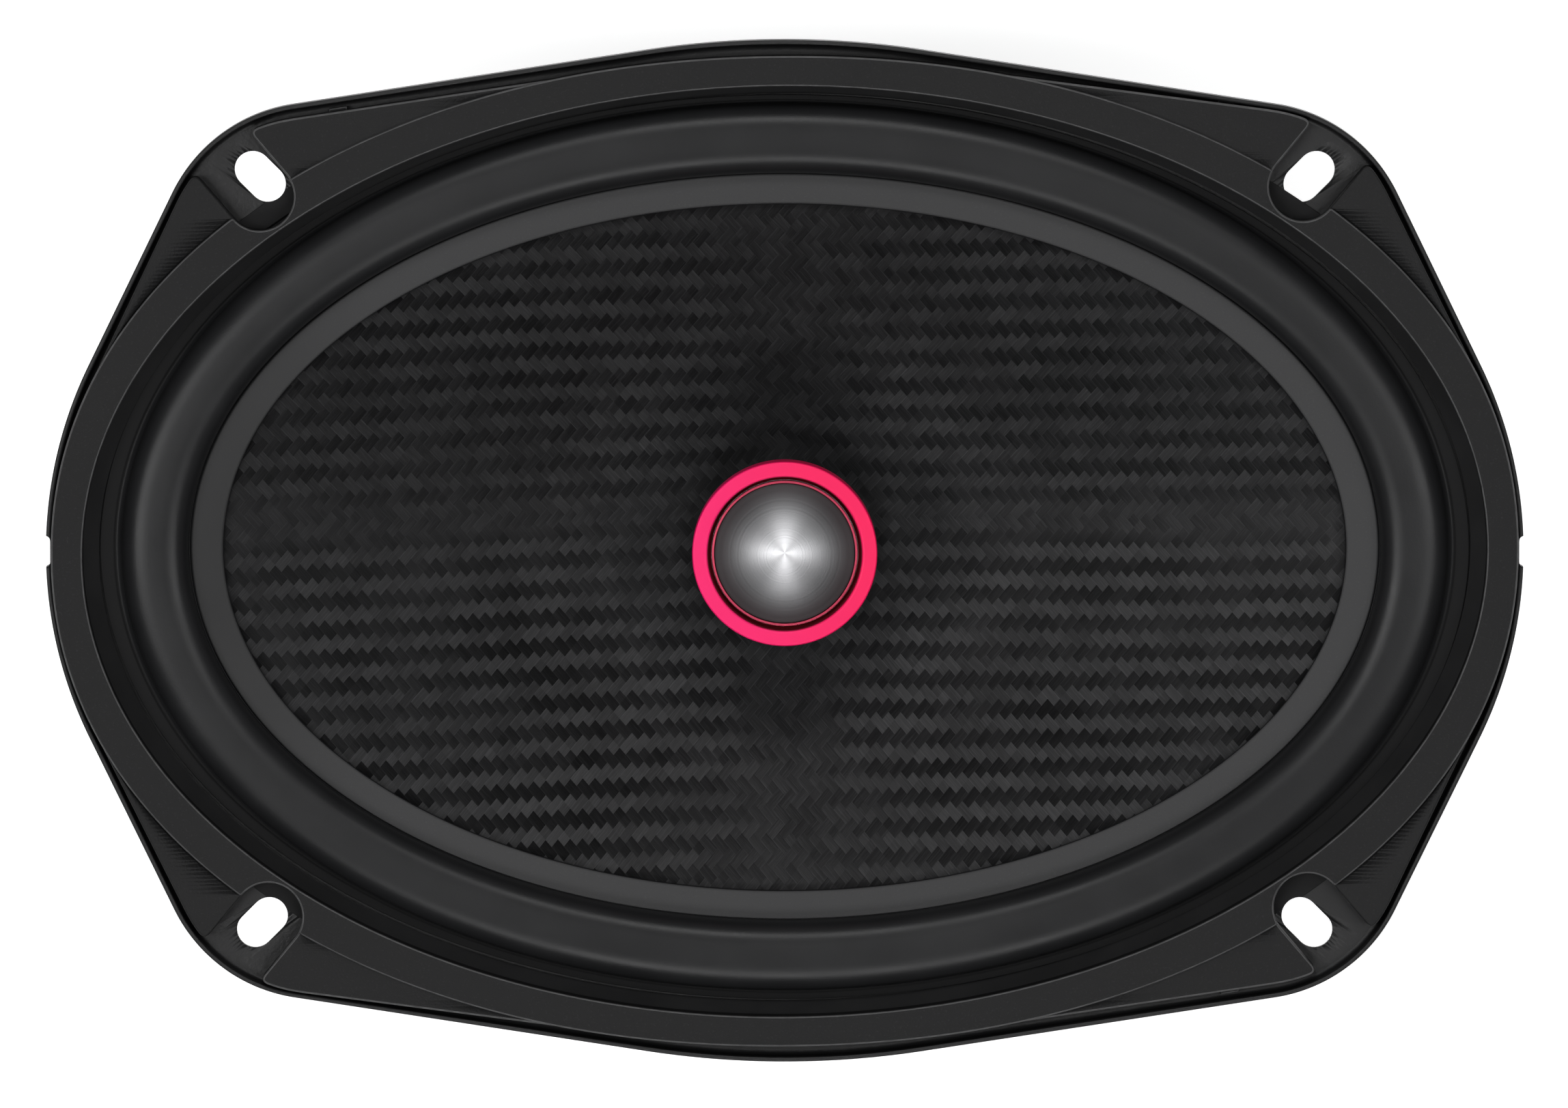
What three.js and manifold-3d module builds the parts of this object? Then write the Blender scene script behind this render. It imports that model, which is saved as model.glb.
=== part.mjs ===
// Coaxial 6 x 9 inch car loudspeaker: an oval woven-cone woofer with a round
// metal-dome tweeter held on a post at its centre.
// Millimetres. +Z points out of the front of the speaker, X is the long axis
// of the oval. The origin is the centre of the motor's rear face, so the
// speaker stands on its magnet.
import * as THREE from 'three';
import { mergeVertices } from 'three/addons/utils/BufferGeometryUtils.js';
import Module from 'manifold-3d';

const wasm = await Module();
wasm.setup();

// ---------------------------------------------------------------- dimensions
const SEG = 40;                 // facets round the oval rings
const SEG_R = 32;               // facets round the motor
const SEG_S = 24;               // facets round the tweeter and post

// mounting flange outline: three tangent arcs a quadrant
const SIDE_ARC = { x: 50, y: 0, r: 67.5 };
const CORNER_ARC = { x: 74.33, y: 45.91, r: 25.5 };
const TOP_ARC = { x: 0, y: -63.6, r: 145 };
const SIDE_ANGLE = 26, TOP_ANGLE = 81.3;   // degrees where the arcs hand over
const FLANGE_Z0 = 76.0, FLANGE_Z1 = 77.6;  // sheet-metal flange, 1.6 thick
const LIP_Z = 80.0, LIP_T = 0.8;           // upstanding rim of the flange
const NOTCH_W = 5.0, NOTCH_X = 116.5;      // locating notches at both ends

// mounting slots
const SLOT_X = 83.3, SLOT_Y = 59.6, SLOT_W = 5.86, SLOT_L = 9.1;

// trim gasket
const BAND_TOP = 82.0, PAD_TOP = 81.4, GASKET_Z0 = 77.7;
const POCKET = { x: 82.75, y: 57.46, r: 5.45, axis: 50 };   // centre of its round end

// motor
const YOKE_R = 46, YOKE_T = 7.0, POLE_R = 12.3, POLE_TOP = 29.2, POLE_BORE = 4.8;
const MAGNET_R = 45, MAGNET_RI = 20, MAGNET_Z0 = 7.1, MAGNET_Z1 = 22.1;
const PLATE_R = 42, PLATE_RI = 14.4, PLATE_Z0 = 22.2, PLATE_Z1 = 28.2;
const BASE_Z0 = 28.3, BASE_Z1 = 30.0;      // basket floor on the top plate

// moving parts
const FORMER_RI = 12.75, FORMER_RO = 13.05;
const WINDING_RO = 13.8, WINDING_Z0 = 20.8, WINDING_Z1 = 29.6;
const NECK_Z = 47.2, RIM_Z = 72.0;
const CONE_A = 89.2, CONE_B = 54.7, NECK_R = 13.2;
const ROLL_A = 100.25, ROLL_B = 65.15, ROLL_W = 5.5, ROLL_H = 5.2;
const ROLL_N = 2.8;            // fullness of the roll: 2 is a plain ellipse
const COLLAR_R = 9.5, COLLAR_Z0 = 48.05, COLLAR_Z1 = 48.75;   // cone's collar over the coil former

// tweeter
const BEZEL_R = 14.7, BEZEL_RI = 12.2, BEZEL_TOP = 84.5;
const DOME_R = 11.1, DOME_Z = 82.9, DOME_H = 5.3;

// ------------------------------------------------------------------- helpers
function bare(geometry) {
  const g = geometry.index ? geometry : geometry.clone();
  g.deleteAttribute('normal');
  g.deleteAttribute('uv');
  const m = mergeVertices(g, 1e-4);
  const src = m.index.array, keep = [];
  for (let i = 0; i < src.length; i += 3) {
    const [a, b, c] = [src[i], src[i + 1], src[i + 2]];
    if (a !== b && b !== c && a !== c) keep.push(a, b, c);
  }
  m.setIndex(keep);
  return m;
}

function solid(geometry) {
  const g = bare(geometry);
  const mesh = new wasm.Mesh({
    numProp: 3,
    vertProperties: new Float32Array(g.attributes.position.array),
    triVerts: new Uint32Array(g.index.array),
  });
  mesh.merge();
  return new wasm.Manifold(mesh);
}

function geometryOf(manifold) {
  const m = manifold.simplify(0.02).getMesh();
  const g = new THREE.BufferGeometry();
  g.setAttribute('position', new THREE.BufferAttribute(new Float32Array(m.vertProperties), 3));
  g.setIndex(Array.from(m.triVerts));
  return g;
}

// closed profile of [a, b, z]: an oval ring whose half-axes are a and b
function oval(profile, segments = SEG) {
  const pts = [...profile, profile[0]].map(([a, , z]) => new THREE.Vector2(a, z));
  const g = new THREE.LatheGeometry(pts, segments);
  g.rotateX(Math.PI / 2);
  const n = pts.length, pos = g.attributes.position;
  const loop = [...profile, profile[0]];
  for (let i = 0; i < pos.count; i++) {
    const [a, b] = loop[i % n];
    pos.setY(i, pos.getY(i) * b / a);
  }
  return g;
}

// round lathe of [r, z]; a profile that leaves the axis open closes on itself
function lathe(profile, segments = SEG_R) {
  const onAxis = profile[0][0] === 0;
  const loop = onAxis ? profile : [...profile, profile[0]];
  const g = new THREE.LatheGeometry(loop.map(([r, z]) => new THREE.Vector2(r, z)), segments);
  g.rotateX(Math.PI / 2);
  return g;
}

function shapeOf(points) {
  const s = new THREE.Shape();
  points.forEach(([x, y], i) => (i ? s.lineTo(x, y) : s.moveTo(x, y)));
  s.closePath();
  return s;
}

function plate(points, z0, z1, holes = []) {
  const s = shapeOf(points);
  for (const h of holes) s.holes.push(shapeOf(h));
  const g = new THREE.ExtrudeGeometry(s, { depth: z1 - z0, bevelEnabled: false, steps: 1 });
  g.translate(0, 0, z0);
  return g;
}

function box(x0, x1, y0, y1, z0, z1) {
  const g = new THREE.BoxGeometry(x1 - x0, y1 - y0, z1 - z0);
  g.translate((x0 + x1) / 2, (y0 + y1) / 2, (z0 + z1) / 2);
  return g;
}

function ellipse(a, b, n = SEG) {
  return Array.from({ length: n }, (_, i) => {
    const t = (i / n) * 2 * Math.PI;
    return [a * Math.cos(t), b * Math.sin(t)];
  });
}

function circle(x, y, r, n = 16) {
  return ellipse(r, r, n).map(([u, v]) => [u + x, v + y]);
}

function wire(points, r, steps, sides = 6) {
  const path = new THREE.CatmullRomCurve3(points.map((p) => new THREE.Vector3(...p)), false, 'centripetal');
  const s = shapeOf(circle(0, 0, r, sides));
  return new THREE.ExtrudeGeometry(s, { steps, bevelEnabled: false, extrudePath: path });
}

const deg = (d) => (d * Math.PI) / 180;
const mix = (a, b, t) => a + (b - a) * t;

// flange outline drawn in by an inset that may change round the quadrant
function outline(inset) {
  const quad = [];
  const arc = (c, a0, a1, n, skipFirst = false) => {
    for (let i = skipFirst ? 1 : 0; i <= n; i++) {
      const d = mix(a0, a1, i / n);
      const r = c.r - inset(d);
      quad.push([c.x + r * Math.cos(deg(d)), c.y + r * Math.sin(deg(d))]);
    }
  };
  arc(SIDE_ARC, 0, SIDE_ANGLE, 6);
  arc(CORNER_ARC, SIDE_ANGLE, TOP_ANGLE, 7);
  arc(TOP_ARC, TOP_ANGLE, 90, 3);
  const q2 = quad.slice(0, -1).reverse().map(([x, y]) => [-x, y]);
  const top = [...quad, ...q2];
  const bottom = top.slice(1, -1).reverse().map(([x, y]) => [x, -y]);
  return [...top, ...bottom];
}

const QUADS = [[1, 1], [-1, 1], [-1, -1], [1, -1]];
const mirrorTo = (pts, sx, sy) => {
  const m = pts.map(([x, y]) => [x * sx, y * sy]);
  return sx * sy < 0 ? m.reverse() : m;
};

function slotShape(sx, sy) {
  const half = (SLOT_L - SLOT_W) / 2, r = SLOT_W / 2, pts = [];
  for (const [side, from] of [[1, -45], [-1, 135]]) {
    for (let i = 0; i <= 6; i++) {
      const d = deg(from + i * 30);
      pts.push([SLOT_X + side * half * Math.SQRT1_2 + r * Math.cos(d),
                SLOT_Y + side * half * Math.SQRT1_2 + r * Math.sin(d)]);
    }
  }
  return mirrorTo(pts, sx, sy);
}

// U-shaped pocket in the gasket round a slot, open to the rim
function pocketShape(sx, sy) {
  const pts = [];
  for (let i = 0; i <= 8; i++) {
    const d = deg(POCKET.axis - 90 - i * (180 / 8));
    pts.push([POCKET.x + POCKET.r * Math.cos(d), POCKET.y + POCKET.r * Math.sin(d)]);
  }
  const out = 16, ux = Math.cos(deg(POCKET.axis)), uy = Math.sin(deg(POCKET.axis));
  pts.push([pts[8][0] + out * ux, pts[8][1] + out * uy], [pts[0][0] + out * ux, pts[0][1] + out * uy]);
  return mirrorTo(pts.reverse(), sx, sy);
}

// ---------------------------------------------------------------- components
const parts = new THREE.Group();
parts.name = 'coaxial_speaker';
function add(name, geometry, color, roughness, metalness, group = parts) {
  const g = geometry.attributes.uv ? bare(geometry) : geometry;
  g.computeVertexNormals();
  const mesh = new THREE.Mesh(g, new THREE.MeshStandardMaterial({ color, roughness, metalness, flatShading: true }));
  mesh.name = name;
  group.add(mesh);
}

const motor = new THREE.Group(); motor.name = 'motor'; parts.add(motor);
const chassis = new THREE.Group(); chassis.name = 'chassis'; parts.add(chassis);
const moving = new THREE.Group(); moving.name = 'moving'; parts.add(moving);
const tweeter = new THREE.Group(); tweeter.name = 'tweeter'; parts.add(tweeter);
const electrics = new THREE.Group(); electrics.name = 'electrics'; parts.add(electrics);

// --- motor: yoke with pole piece, ferrite ring, front plate
{
  const yoke = solid(lathe([
    [8.2, 0], [45.2, 0], [YOKE_R, 0.8], [YOKE_R, 6.4], [45.4, YOKE_T], [13.4, YOKE_T], [POLE_R, 8.2],
    [POLE_R, 28.6], [11.7, POLE_TOP], [POLE_BORE, POLE_TOP], [POLE_BORE, 9.0], [8.2, 9.0],
  ])).subtract(solid(box(-2.6, 2.6, -48, -7, -1, 3.2)));   // channel for the tweeter lead
  add('yoke', geometryOf(yoke), 0x1c1c1e, 0.45, 0.7, motor);
}
add('magnet_ring', lathe([
  [MAGNET_RI, MAGNET_Z0], [44.2, MAGNET_Z0], [MAGNET_R, MAGNET_Z0 + 0.8], [MAGNET_R, MAGNET_Z1 - 0.8],
  [44.2, MAGNET_Z1], [MAGNET_RI, MAGNET_Z1],
]), 0x2b2b2d, 0.75, 0.15, motor);

const RIVET_R = 33, RIVET_AT = [45, 135, 225, 315];
{
  let p = solid(lathe([
    [PLATE_RI, PLATE_Z0], [41.4, PLATE_Z0], [PLATE_R, PLATE_Z0 + 0.6], [PLATE_R, PLATE_Z1 - 0.6],
    [41.4, PLATE_Z1], [PLATE_RI, PLATE_Z1],
  ]));
  for (const d of RIVET_AT) {
    const x = RIVET_R * Math.cos(deg(d)), y = RIVET_R * Math.sin(deg(d));
    p = p.subtract(solid(plate(circle(x, y, 1.9, 12), 21, 29)));
  }
  add('front_plate', geometryOf(p), 0x9a9ca0, 0.4, 0.9, motor);
}

// --- basket: pressed-steel frame
const windowShape = (k) => {
  const mid = 45 * k, pts = [];
  const inner = [58.5, 56.5], outer = [101.5, 67.6];
  const at = ([a, b], t) => [a * Math.cos(deg(t)), b * Math.sin(deg(t))];
  const lerpE = (f) => [mix(inner[0], outer[0], f), mix(inner[1], outer[1], f)];
  for (let i = 0; i <= 4; i++) pts.push(at(outer, mix(mid - 14, mid + 14, i / 4)));
  pts.push(at(lerpE(0.94), mid + 16.2), at(lerpE(0.08), mid + 16));
  for (let i = 0; i <= 4; i++) pts.push(at(inner, mix(mid + 13.5, mid - 13.5, i / 4)));
  pts.push(at(lerpE(0.08), mid - 16), at(lerpE(0.94), mid - 16.2));
  return pts;
};
{
  const wall = solid(oval([
    [20, 20, BASE_Z0], [44.5, 44.5, BASE_Z0], [46.5, 46.5, 30.5], [48.5, 48.5, 38.8], [54.2, 54.0, 38.8],
    [55.2, 54.6, 40.0], [106, 70.5, 70.8], [110.6, 74.1, 70.8], [113.3, 76.5, FLANGE_Z0 + 0.6],
    [111.5, 74.7, FLANGE_Z0 + 0.6], [110.2, 73.5, 72.2],
    [105.0, 69.6, 72.2], [53.4, 53.2, 40.3], [46.2, 46.2, 40.3], [45.0, 45.0, BASE_Z1], [20, 20, BASE_Z1],
  ]));
  const flange = solid(plate(outline(() => 0), FLANGE_Z0, LIP_Z, [ellipse(111.9, 75.1).reverse()]))
    .subtract(solid(plate(outline(() => LIP_T), FLANGE_Z1, LIP_Z + 1)));
  const lug = solid(box(-9, 9, -68, -54.2, 40.0, 41.5));     // carries the terminal board
  let b = flange.add(wall).add(lug);
  for (const s of [1, -1]) {
    b = b.subtract(solid(box(s > 0 ? NOTCH_X : -120, s > 0 ? 120 : -NOTCH_X, -NOTCH_W / 2, NOTCH_W / 2, 74, 82)));
  }
  for (const [sx, sy] of QUADS) b = b.subtract(solid(plate(slotShape(sx, sy), 74, 79)));
  for (let k = 0; k < 8; k++) b = b.subtract(solid(plate(windowShape(k), 42.2, 70.6)));
  for (const d of RIVET_AT) {
    b = b.subtract(solid(plate(circle(RIVET_R * Math.cos(deg(d)), RIVET_R * Math.sin(deg(d)), 1.9, 12), 27, 31)));
  }
  for (const x of [-5.5, 5.5]) b = b.subtract(solid(plate(circle(x, -64, 1.5, 12), 39, 43)));
  add('basket', geometryOf(b), 0x202022, 0.5, 0.4, chassis);
}
RIVET_AT.forEach((d, i) => {
  const g = lathe([[0, 22.8], [1.55, 22.8], [1.55, 30.1], [3.2, 30.1], [3.2, 30.9], [2.0, 31.9], [0, 31.9]], 12);
  g.translate(RIVET_R * Math.cos(deg(d)), RIVET_R * Math.sin(deg(d)), 0);
  add(`basket_rivet_${i + 1}`, g, 0xb8babd, 0.35, 0.9, chassis);
});

// --- trim gasket: oval band, eight corner pads and four pockets, one moulding
{
  const band = solid(oval([
    [109.3, 72.6, 73.3], [110.2, 73.5, 73.3], [111.5, 74.7, GASKET_Z0], [116.2, 78.9, GASKET_Z0],
    [116.2, 78.9, 81.2], [115.4, 78.1, BAND_TOP], [112.2, 74.8, BAND_TOP], [111.64, 74.23, 81.6],
  ]));
  const inset = (d) => (d <= SIDE_ANGLE ? mix(2.6, 1.4, d / SIDE_ANGLE) : d <= TOP_ANGLE ? 1.4 : mix(1.4, 2.4, (d - TOP_ANGLE) / (90 - TOP_ANGLE)));
  const pads = solid(plate(outline(inset), GASKET_Z0, PAD_TOP, [ellipse(113.6, 76.3).reverse()]));
  let g = band.add(pads);
  for (const [sx, sy] of QUADS) g = g.subtract(solid(plate(pocketShape(sx, sy), 77.2, 84)));
  add('trim_gasket', geometryOf(g), 0x323234, 0.8, 0.0, chassis);
}

// --- surround: rubber half roll with an outer flange and an inner land
{
  const roll = (w, h, z, n, rev) => {
    const p = [];
    for (let i = 0; i <= n; i++) {
      const t = Math.PI * (i / n), c = Math.cos(t);
      const u = Math.sign(c) * Math.abs(c) ** (2 / ROLL_N), v = Math.abs(Math.sin(t)) ** (2 / ROLL_N);
      p.push([ROLL_A + w * u, ROLL_B + w * u, z + h * v]);
    }
    return rev ? p.reverse() : p;
  };
  add('surround', oval([
    [89.5, 55.0, 72.6], ...roll(4.8, 4.3, 72.6, 6, true), [109.0, 72.3, 72.35], [109.0, 72.3, 73.15],
    ...roll(ROLL_W, ROLL_H, 73.3, 6, false), [89.5, 55.0, 73.4],
  ]), 0x2c2c2e, 0.55, 0.0, chassis);
}

// --- cone, voice coil and spider
const coneAt = (s, dz) => [mix(NECK_R, CONE_A, s), mix(NECK_R, CONE_B, s), NECK_Z + dz + (RIM_Z - NECK_Z) * (1.12 * s - 0.12 * s * s)];
{
  const top = [], under = [];
  for (let i = 1; i <= 5; i++) top.push(coneAt(i / 5, 0));
  for (let i = 1; i <= 5; i++) under.push(coneAt(i / 5, -1.2));
  under[4] = [90.2, 55.6, 71.4];
  add('cone', oval([
    [NECK_R, NECK_R, 45.0], [14.0, 14.0, 45.3], ...under, [93.4, 58.5, 71.5], [93.4, 58.5, 72.5], [89.7, 55.2, 72.5],
    ...top.reverse(), [17.0, 15.3, COLLAR_Z1], [COLLAR_R, COLLAR_R, COLLAR_Z1], [COLLAR_R, COLLAR_R, COLLAR_Z0], [NECK_R, NECK_R, COLLAR_Z0],
  ]), 0x2a2a2c, 0.5, 0.1, moving);
}
add('voice_coil_former', lathe([[FORMER_RI, 20.2], [FORMER_RO, 20.2], [FORMER_RO, 47.6], [FORMER_RI, 47.6]]), 0xc8a46a, 0.5, 0.1, moving);
add('voice_coil_winding', lathe([[13.12, WINDING_Z0], [WINDING_RO, WINDING_Z0], [WINDING_RO, WINDING_Z1], [13.12, WINDING_Z1]]), 0xb4683a, 0.35, 0.9, moving);
{
  const lower = [], upper = [], waves = 3, r0 = 18, r1 = 45.5;
  for (let i = 0; i <= waves * 2; i++) {
    const r = mix(r0, r1, i / (waves * 2));
    const z = 41.3 + (i % 2 ? 1.15 : -1.15) * (i === 0 || i === waves * 2 ? 0.3 : 1);
    lower.push([r, z - 0.35]); upper.push([r, z + 0.35]);
  }
  add('spider', lathe([[13.2, 41.0], [15.4, 41.0], ...lower, [46.4, 40.4], [51.8, 40.4], [51.8, 41.1], [46.6, 41.1],
    ...upper.reverse(), [15.2, 41.8], [14.2, 43.2], [13.2, 43.2]]), 0xb79a5c, 0.9, 0.0, chassis);
}

// --- tweeter on its post
add('tweeter_post', lathe([
  [2.6, 3.9], [4.5, 3.9], [4.5, 29.3], [9, 29.3], [9, 31], [6.6, 34.5], [6.0, 69.4], [5.0, 69.4], [5.0, 71.6], [2.6, 71.6],
], SEG_S), 0x1e1e20, 0.5, 0.1, tweeter);
{
  const hex = Array.from({ length: 6 }, (_, i) => [7.3 * Math.cos(deg(60 * i)), 7.3 * Math.sin(deg(60 * i))]);
  add('tweeter_post_nut', plate(hex, 4.8, 7.95, [circle(0, 0, 4.85, SEG_S).reverse()]), 0xc2c4c8, 0.35, 0.9, tweeter);
}
add('tweeter_post_washer', lathe([[4.85, 8.05], [7.7, 8.05], [7.7, 8.9], [4.85, 8.9]], SEG_S), 0xb0b2b6, 0.35, 0.9, tweeter);
add('tweeter_housing', lathe([
  [5.35, 69.5], [9.5, 69.5], [13.0, 72.6], [13.9, 79.3], [13.9, 81.2], [13.0, 81.2], [13.0, 71.9], [5.35, 71.9],
], SEG_S), 0x1d1d1f, 0.5, 0.1, tweeter);
add('tweeter_yoke', lathe([
  [0, 72.3], [12.7, 72.3], [12.7, 81.1], [11.3, 81.1], [11.3, 73.9], [0, 73.9],
], SEG_S), 0x8f9195, 0.4, 0.9, tweeter);
add('tweeter_magnet', lathe([[0, 74.0], [9.3, 74.0], [9.3, 77.6], [0, 77.6]], SEG_S), 0xa9abae, 0.35, 0.9, tweeter);
add('tweeter_pole_plate', lathe([[0, 77.7], [10.0, 77.7], [10.0, 80.2], [0, 80.2]], SEG_S), 0x9a9ca0, 0.4, 0.9, tweeter);
add('tweeter_voice_coil', lathe([[10.4, 77.3], [10.85, 77.3], [10.85, 82.5], [10.4, 82.5]], SEG_S), 0xb4683a, 0.4, 0.8, tweeter);
add('tweeter_suspension', lathe([
  [11.75, 82.2], [12.4, 81.4], [13.3, 81.3], [13.3, 82.5], [12.5, 82.5], [12.3, 82.4], [11.75, 82.6],
], SEG_S), 0x0d0d0e, 0.7, 0.0, tweeter);
{
  const domeTop = [], domeUnder = [];
  const R = (DOME_R * DOME_R + DOME_H * DOME_H) / (2 * DOME_H), zc = DOME_Z + DOME_H - R;
  for (let i = 0; i <= 5; i++) {
    const r = DOME_R * (1 - i / 5);
    domeTop.push([r, zc + Math.sqrt(R * R - r * r)]);
    const ru = 10.6 * (i / 5);
    domeUnder.push([ru, zc + Math.sqrt((R - 0.45) ** 2 - ru * ru)]);
  }
  domeTop[0] = [DOME_R, DOME_Z + 0.02];
  domeUnder[5] = [10.6, 82.6];
  add('tweeter_dome', lathe([...domeUnder, [DOME_R, 82.6], ...domeTop], SEG_S), 0xb9bbbf, 0.3, 0.9, tweeter);
}
add('tweeter_dome_ring', lathe([[11.2, 82.65], [11.65, 82.65], [11.65, 83.3], [11.2, 83.3]], SEG_S), 0xe8254f, 0.35, 0.6, tweeter);
add('tweeter_bezel', lathe([
  [14.05, 79.4], [BEZEL_R, 79.4], [BEZEL_R, 83.9], [14.2, BEZEL_TOP], [12.6, BEZEL_TOP], [BEZEL_RI, 84.2],
  [BEZEL_RI, 82.75], [14.05, 82.6],
], SEG_S), 0xe8254f, 0.35, 0.6, tweeter);

// --- terminals, crossover capacitor and internal leads
{
  let board = solid(plate([[-17, -58.5], [-17, -73.5], [-15.5, -75], [15.5, -75], [17, -73.5], [17, -58.5]], 41.6, 43.2,
    [circle(-5.5, -64, 1.5, 12), circle(5.5, -64, 1.5, 12), circle(11, -71, 1.6, 12), circle(-11, -71, 1.6, 12),
     circle(14.9, -61, 0.8, 8), circle(-14.9, -61, 0.8, 8)].map((h) => h.reverse())));
  add('terminal_board', geometryOf(board), 0x6a4a2c, 0.6, 0.0, electrics);
}
const blade = (cx, w) => plate(
  [[cx - w / 2, -63.5], [cx - w / 2, -79.6], [cx - w / 2 + 1.2, -80.9], [cx + w / 2 - 1.2, -80.9], [cx + w / 2, -79.6], [cx + w / 2, -63.5]],
  43.25, 44.05, [circle(cx, -77.4, 0.9, 8).reverse(), circle(cx, -71, 1.6, 12).reverse()]);
add('terminal_positive', blade(11, 6.3), 0xc9a64a, 0.35, 0.9, electrics);
add('terminal_negative', blade(-11, 4.8), 0xcfd1d4, 0.35, 0.9, electrics);
[['terminal_eyelet_positive', 11], ['terminal_eyelet_negative', -11]].forEach(([name, x]) => {
  const g = lathe([[0, 40.9], [2.3, 40.9], [2.3, 41.5], [1.3, 41.5], [1.3, 44.15], [2.4, 44.15], [2.0, 44.75], [0, 44.75]], 12);
  g.translate(x, -71, 0);
  add(name, g, 0xc8cacd, 0.35, 0.9, electrics);
});
[-5.5, 5.5].forEach((x, i) => {
  const g = lathe([[0, 38.7], [2.2, 38.7], [2.2, 39.9], [1.2, 39.9], [1.2, 43.3], [2.5, 43.3], [1.9, 44.3], [0, 44.3]], 12);
  g.translate(x, -64, 0);
  add(`board_rivet_${i + 1}`, g, 0xb8babd, 0.35, 0.9, electrics);
});
{
  const g = lathe([[0, -11], [4.0, -11], [4.5, -10.4], [4.5, 10.4], [4.0, 11], [0, 11]], 16);
  g.rotateY(Math.PI / 2);
  g.translate(0, -61, 33.4);
  add('crossover_capacitor', g, 0x26405e, 0.4, 0.0, electrics);
}
for (const [name, s] of [['capacitor_lead_1', 1], ['capacitor_lead_2', -1]]) {
  add(name, wire([[s * 11.1, -61, 33.4], [s * 13.0, -61, 33.4], [s * 14.6, -61, 34.4], [s * 14.9, -61, 36.5], [s * 14.9, -61, 44.6]], 0.4, 9),
    0xc8cacd, 0.3, 0.9, electrics);
}
for (const [name, s, x1] of [['tweeter_lead_positive', 1, 12.6], ['tweeter_lead_negative', -1, 12.2]]) {
  add(name, wire([
    [s * 0.9, 0, 71.7], [s * 0.9, 0, 40], [s * 0.9, 0, 8], [s * 0.9, -0.4, 4.4], [s * 0.9, -2.6, 2.1], [s * 0.9, -6, 1.7],
    [s * 0.9, -24, 1.7], [s * 0.9, -44.5, 1.7], [s * 1.0, -47.0, 3.0], [s * 1.2, -47.6, 6.5], [s * 1.4, -47.6, 20],
    [s * 2.4, -48.2, 27], [s * 5.4, -50.6, 33], [s * 9.6, -54.4, 36.4], [s * 12.0, -57.0, 39.4], [s * x1, -57.4, 43.0],
    [s * x1, -58.6, 45.0], [s * x1, -61.0, 45.3], [s * x1, -63.0, 44.75],
  ], 0.6, 38), s > 0 ? 0xb02028 : 0x161616, 0.6, 0.0, electrics);
}
for (const [name, s, x1] of [['tinsel_lead_positive', 1, 9.2], ['tinsel_lead_negative', -1, 9.5]]) {
  add(name, wire([
    [s * 8, -30, 55.9], [s * 8, -31.2, 52.8], [s * 8.1, -35.5, 49.3], [s * 8.3, -43, 48.0], [s * 8.6, -50, 48.9],
    [s * 8.9, -56, 49.1], [s * x1, -60.2, 47.0], [s * x1, -62.6, 44.9],
  ], 0.7, 18), 0xb98a5a, 0.5, 0.6, electrics);
}

export default parts;
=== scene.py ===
# Looks of the coaxial car speaker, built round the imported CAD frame.
# Lengths in the tables below are millimetres, and become metres in make().
import math

import bmesh
import bpy
import numpy as np
from mathutils import Matrix, Vector


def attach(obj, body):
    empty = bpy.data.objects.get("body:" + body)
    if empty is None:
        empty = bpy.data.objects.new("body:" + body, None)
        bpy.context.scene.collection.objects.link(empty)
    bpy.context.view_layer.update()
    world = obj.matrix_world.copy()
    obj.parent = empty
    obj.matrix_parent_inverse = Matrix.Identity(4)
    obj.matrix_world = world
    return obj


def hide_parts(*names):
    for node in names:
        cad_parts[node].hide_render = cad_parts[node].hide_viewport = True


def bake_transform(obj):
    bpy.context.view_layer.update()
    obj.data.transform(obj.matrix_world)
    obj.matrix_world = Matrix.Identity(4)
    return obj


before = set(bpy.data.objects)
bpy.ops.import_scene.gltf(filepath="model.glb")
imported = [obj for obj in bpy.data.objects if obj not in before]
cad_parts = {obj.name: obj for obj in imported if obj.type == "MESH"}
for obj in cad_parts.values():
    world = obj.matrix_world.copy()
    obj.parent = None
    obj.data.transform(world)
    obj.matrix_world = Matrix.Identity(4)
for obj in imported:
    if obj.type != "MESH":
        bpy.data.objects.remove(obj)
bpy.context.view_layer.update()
MM = 0.001
TAU = 2 * math.pi
COL = bpy.context.scene.collection


# ------------------------------------------------------------------ mesh tools
def make(name, verts, faces, material, smooth=True):
    me = bpy.data.meshes.new(name)
    me.from_pydata((np.asarray(verts, float) * MM).tolist(), [], faces)
    me.update()
    ob = bpy.data.objects.new(name, me)
    COL.objects.link(ob)
    for m in material if isinstance(material, (list, tuple)) else [material]:
        me.materials.append(m)
    if smooth:
        me.shade_smooth()
    return ob


def fillet(st, cuts, n=4):
    """st: (P, T, 3) stations of a closed loop. Each corner is cut back and rounded."""
    P = len(st)
    cuts = np.broadcast_to(np.asarray(cuts, float), (P,))
    out = []
    for i in range(P):
        p = st[i]
        if cuts[i] <= 0:
            out.append(p)
            continue
        a, b = st[i - 1], st[(i + 1) % P]
        la = np.linalg.norm(a - p, axis=1, keepdims=True) + 1e-9
        lb = np.linalg.norm(b - p, axis=1, keepdims=True) + 1e-9
        d = np.minimum(cuts[i], 0.46 * np.minimum(la, lb))
        s, e = p + (a - p) / la * d, p + (b - p) / lb * d
        for k in range(n + 1):
            t = k / n
            out.append((1 - t) ** 2 * s + 2 * t * (1 - t) * p + t * t * e)
    return np.array(out)


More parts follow.
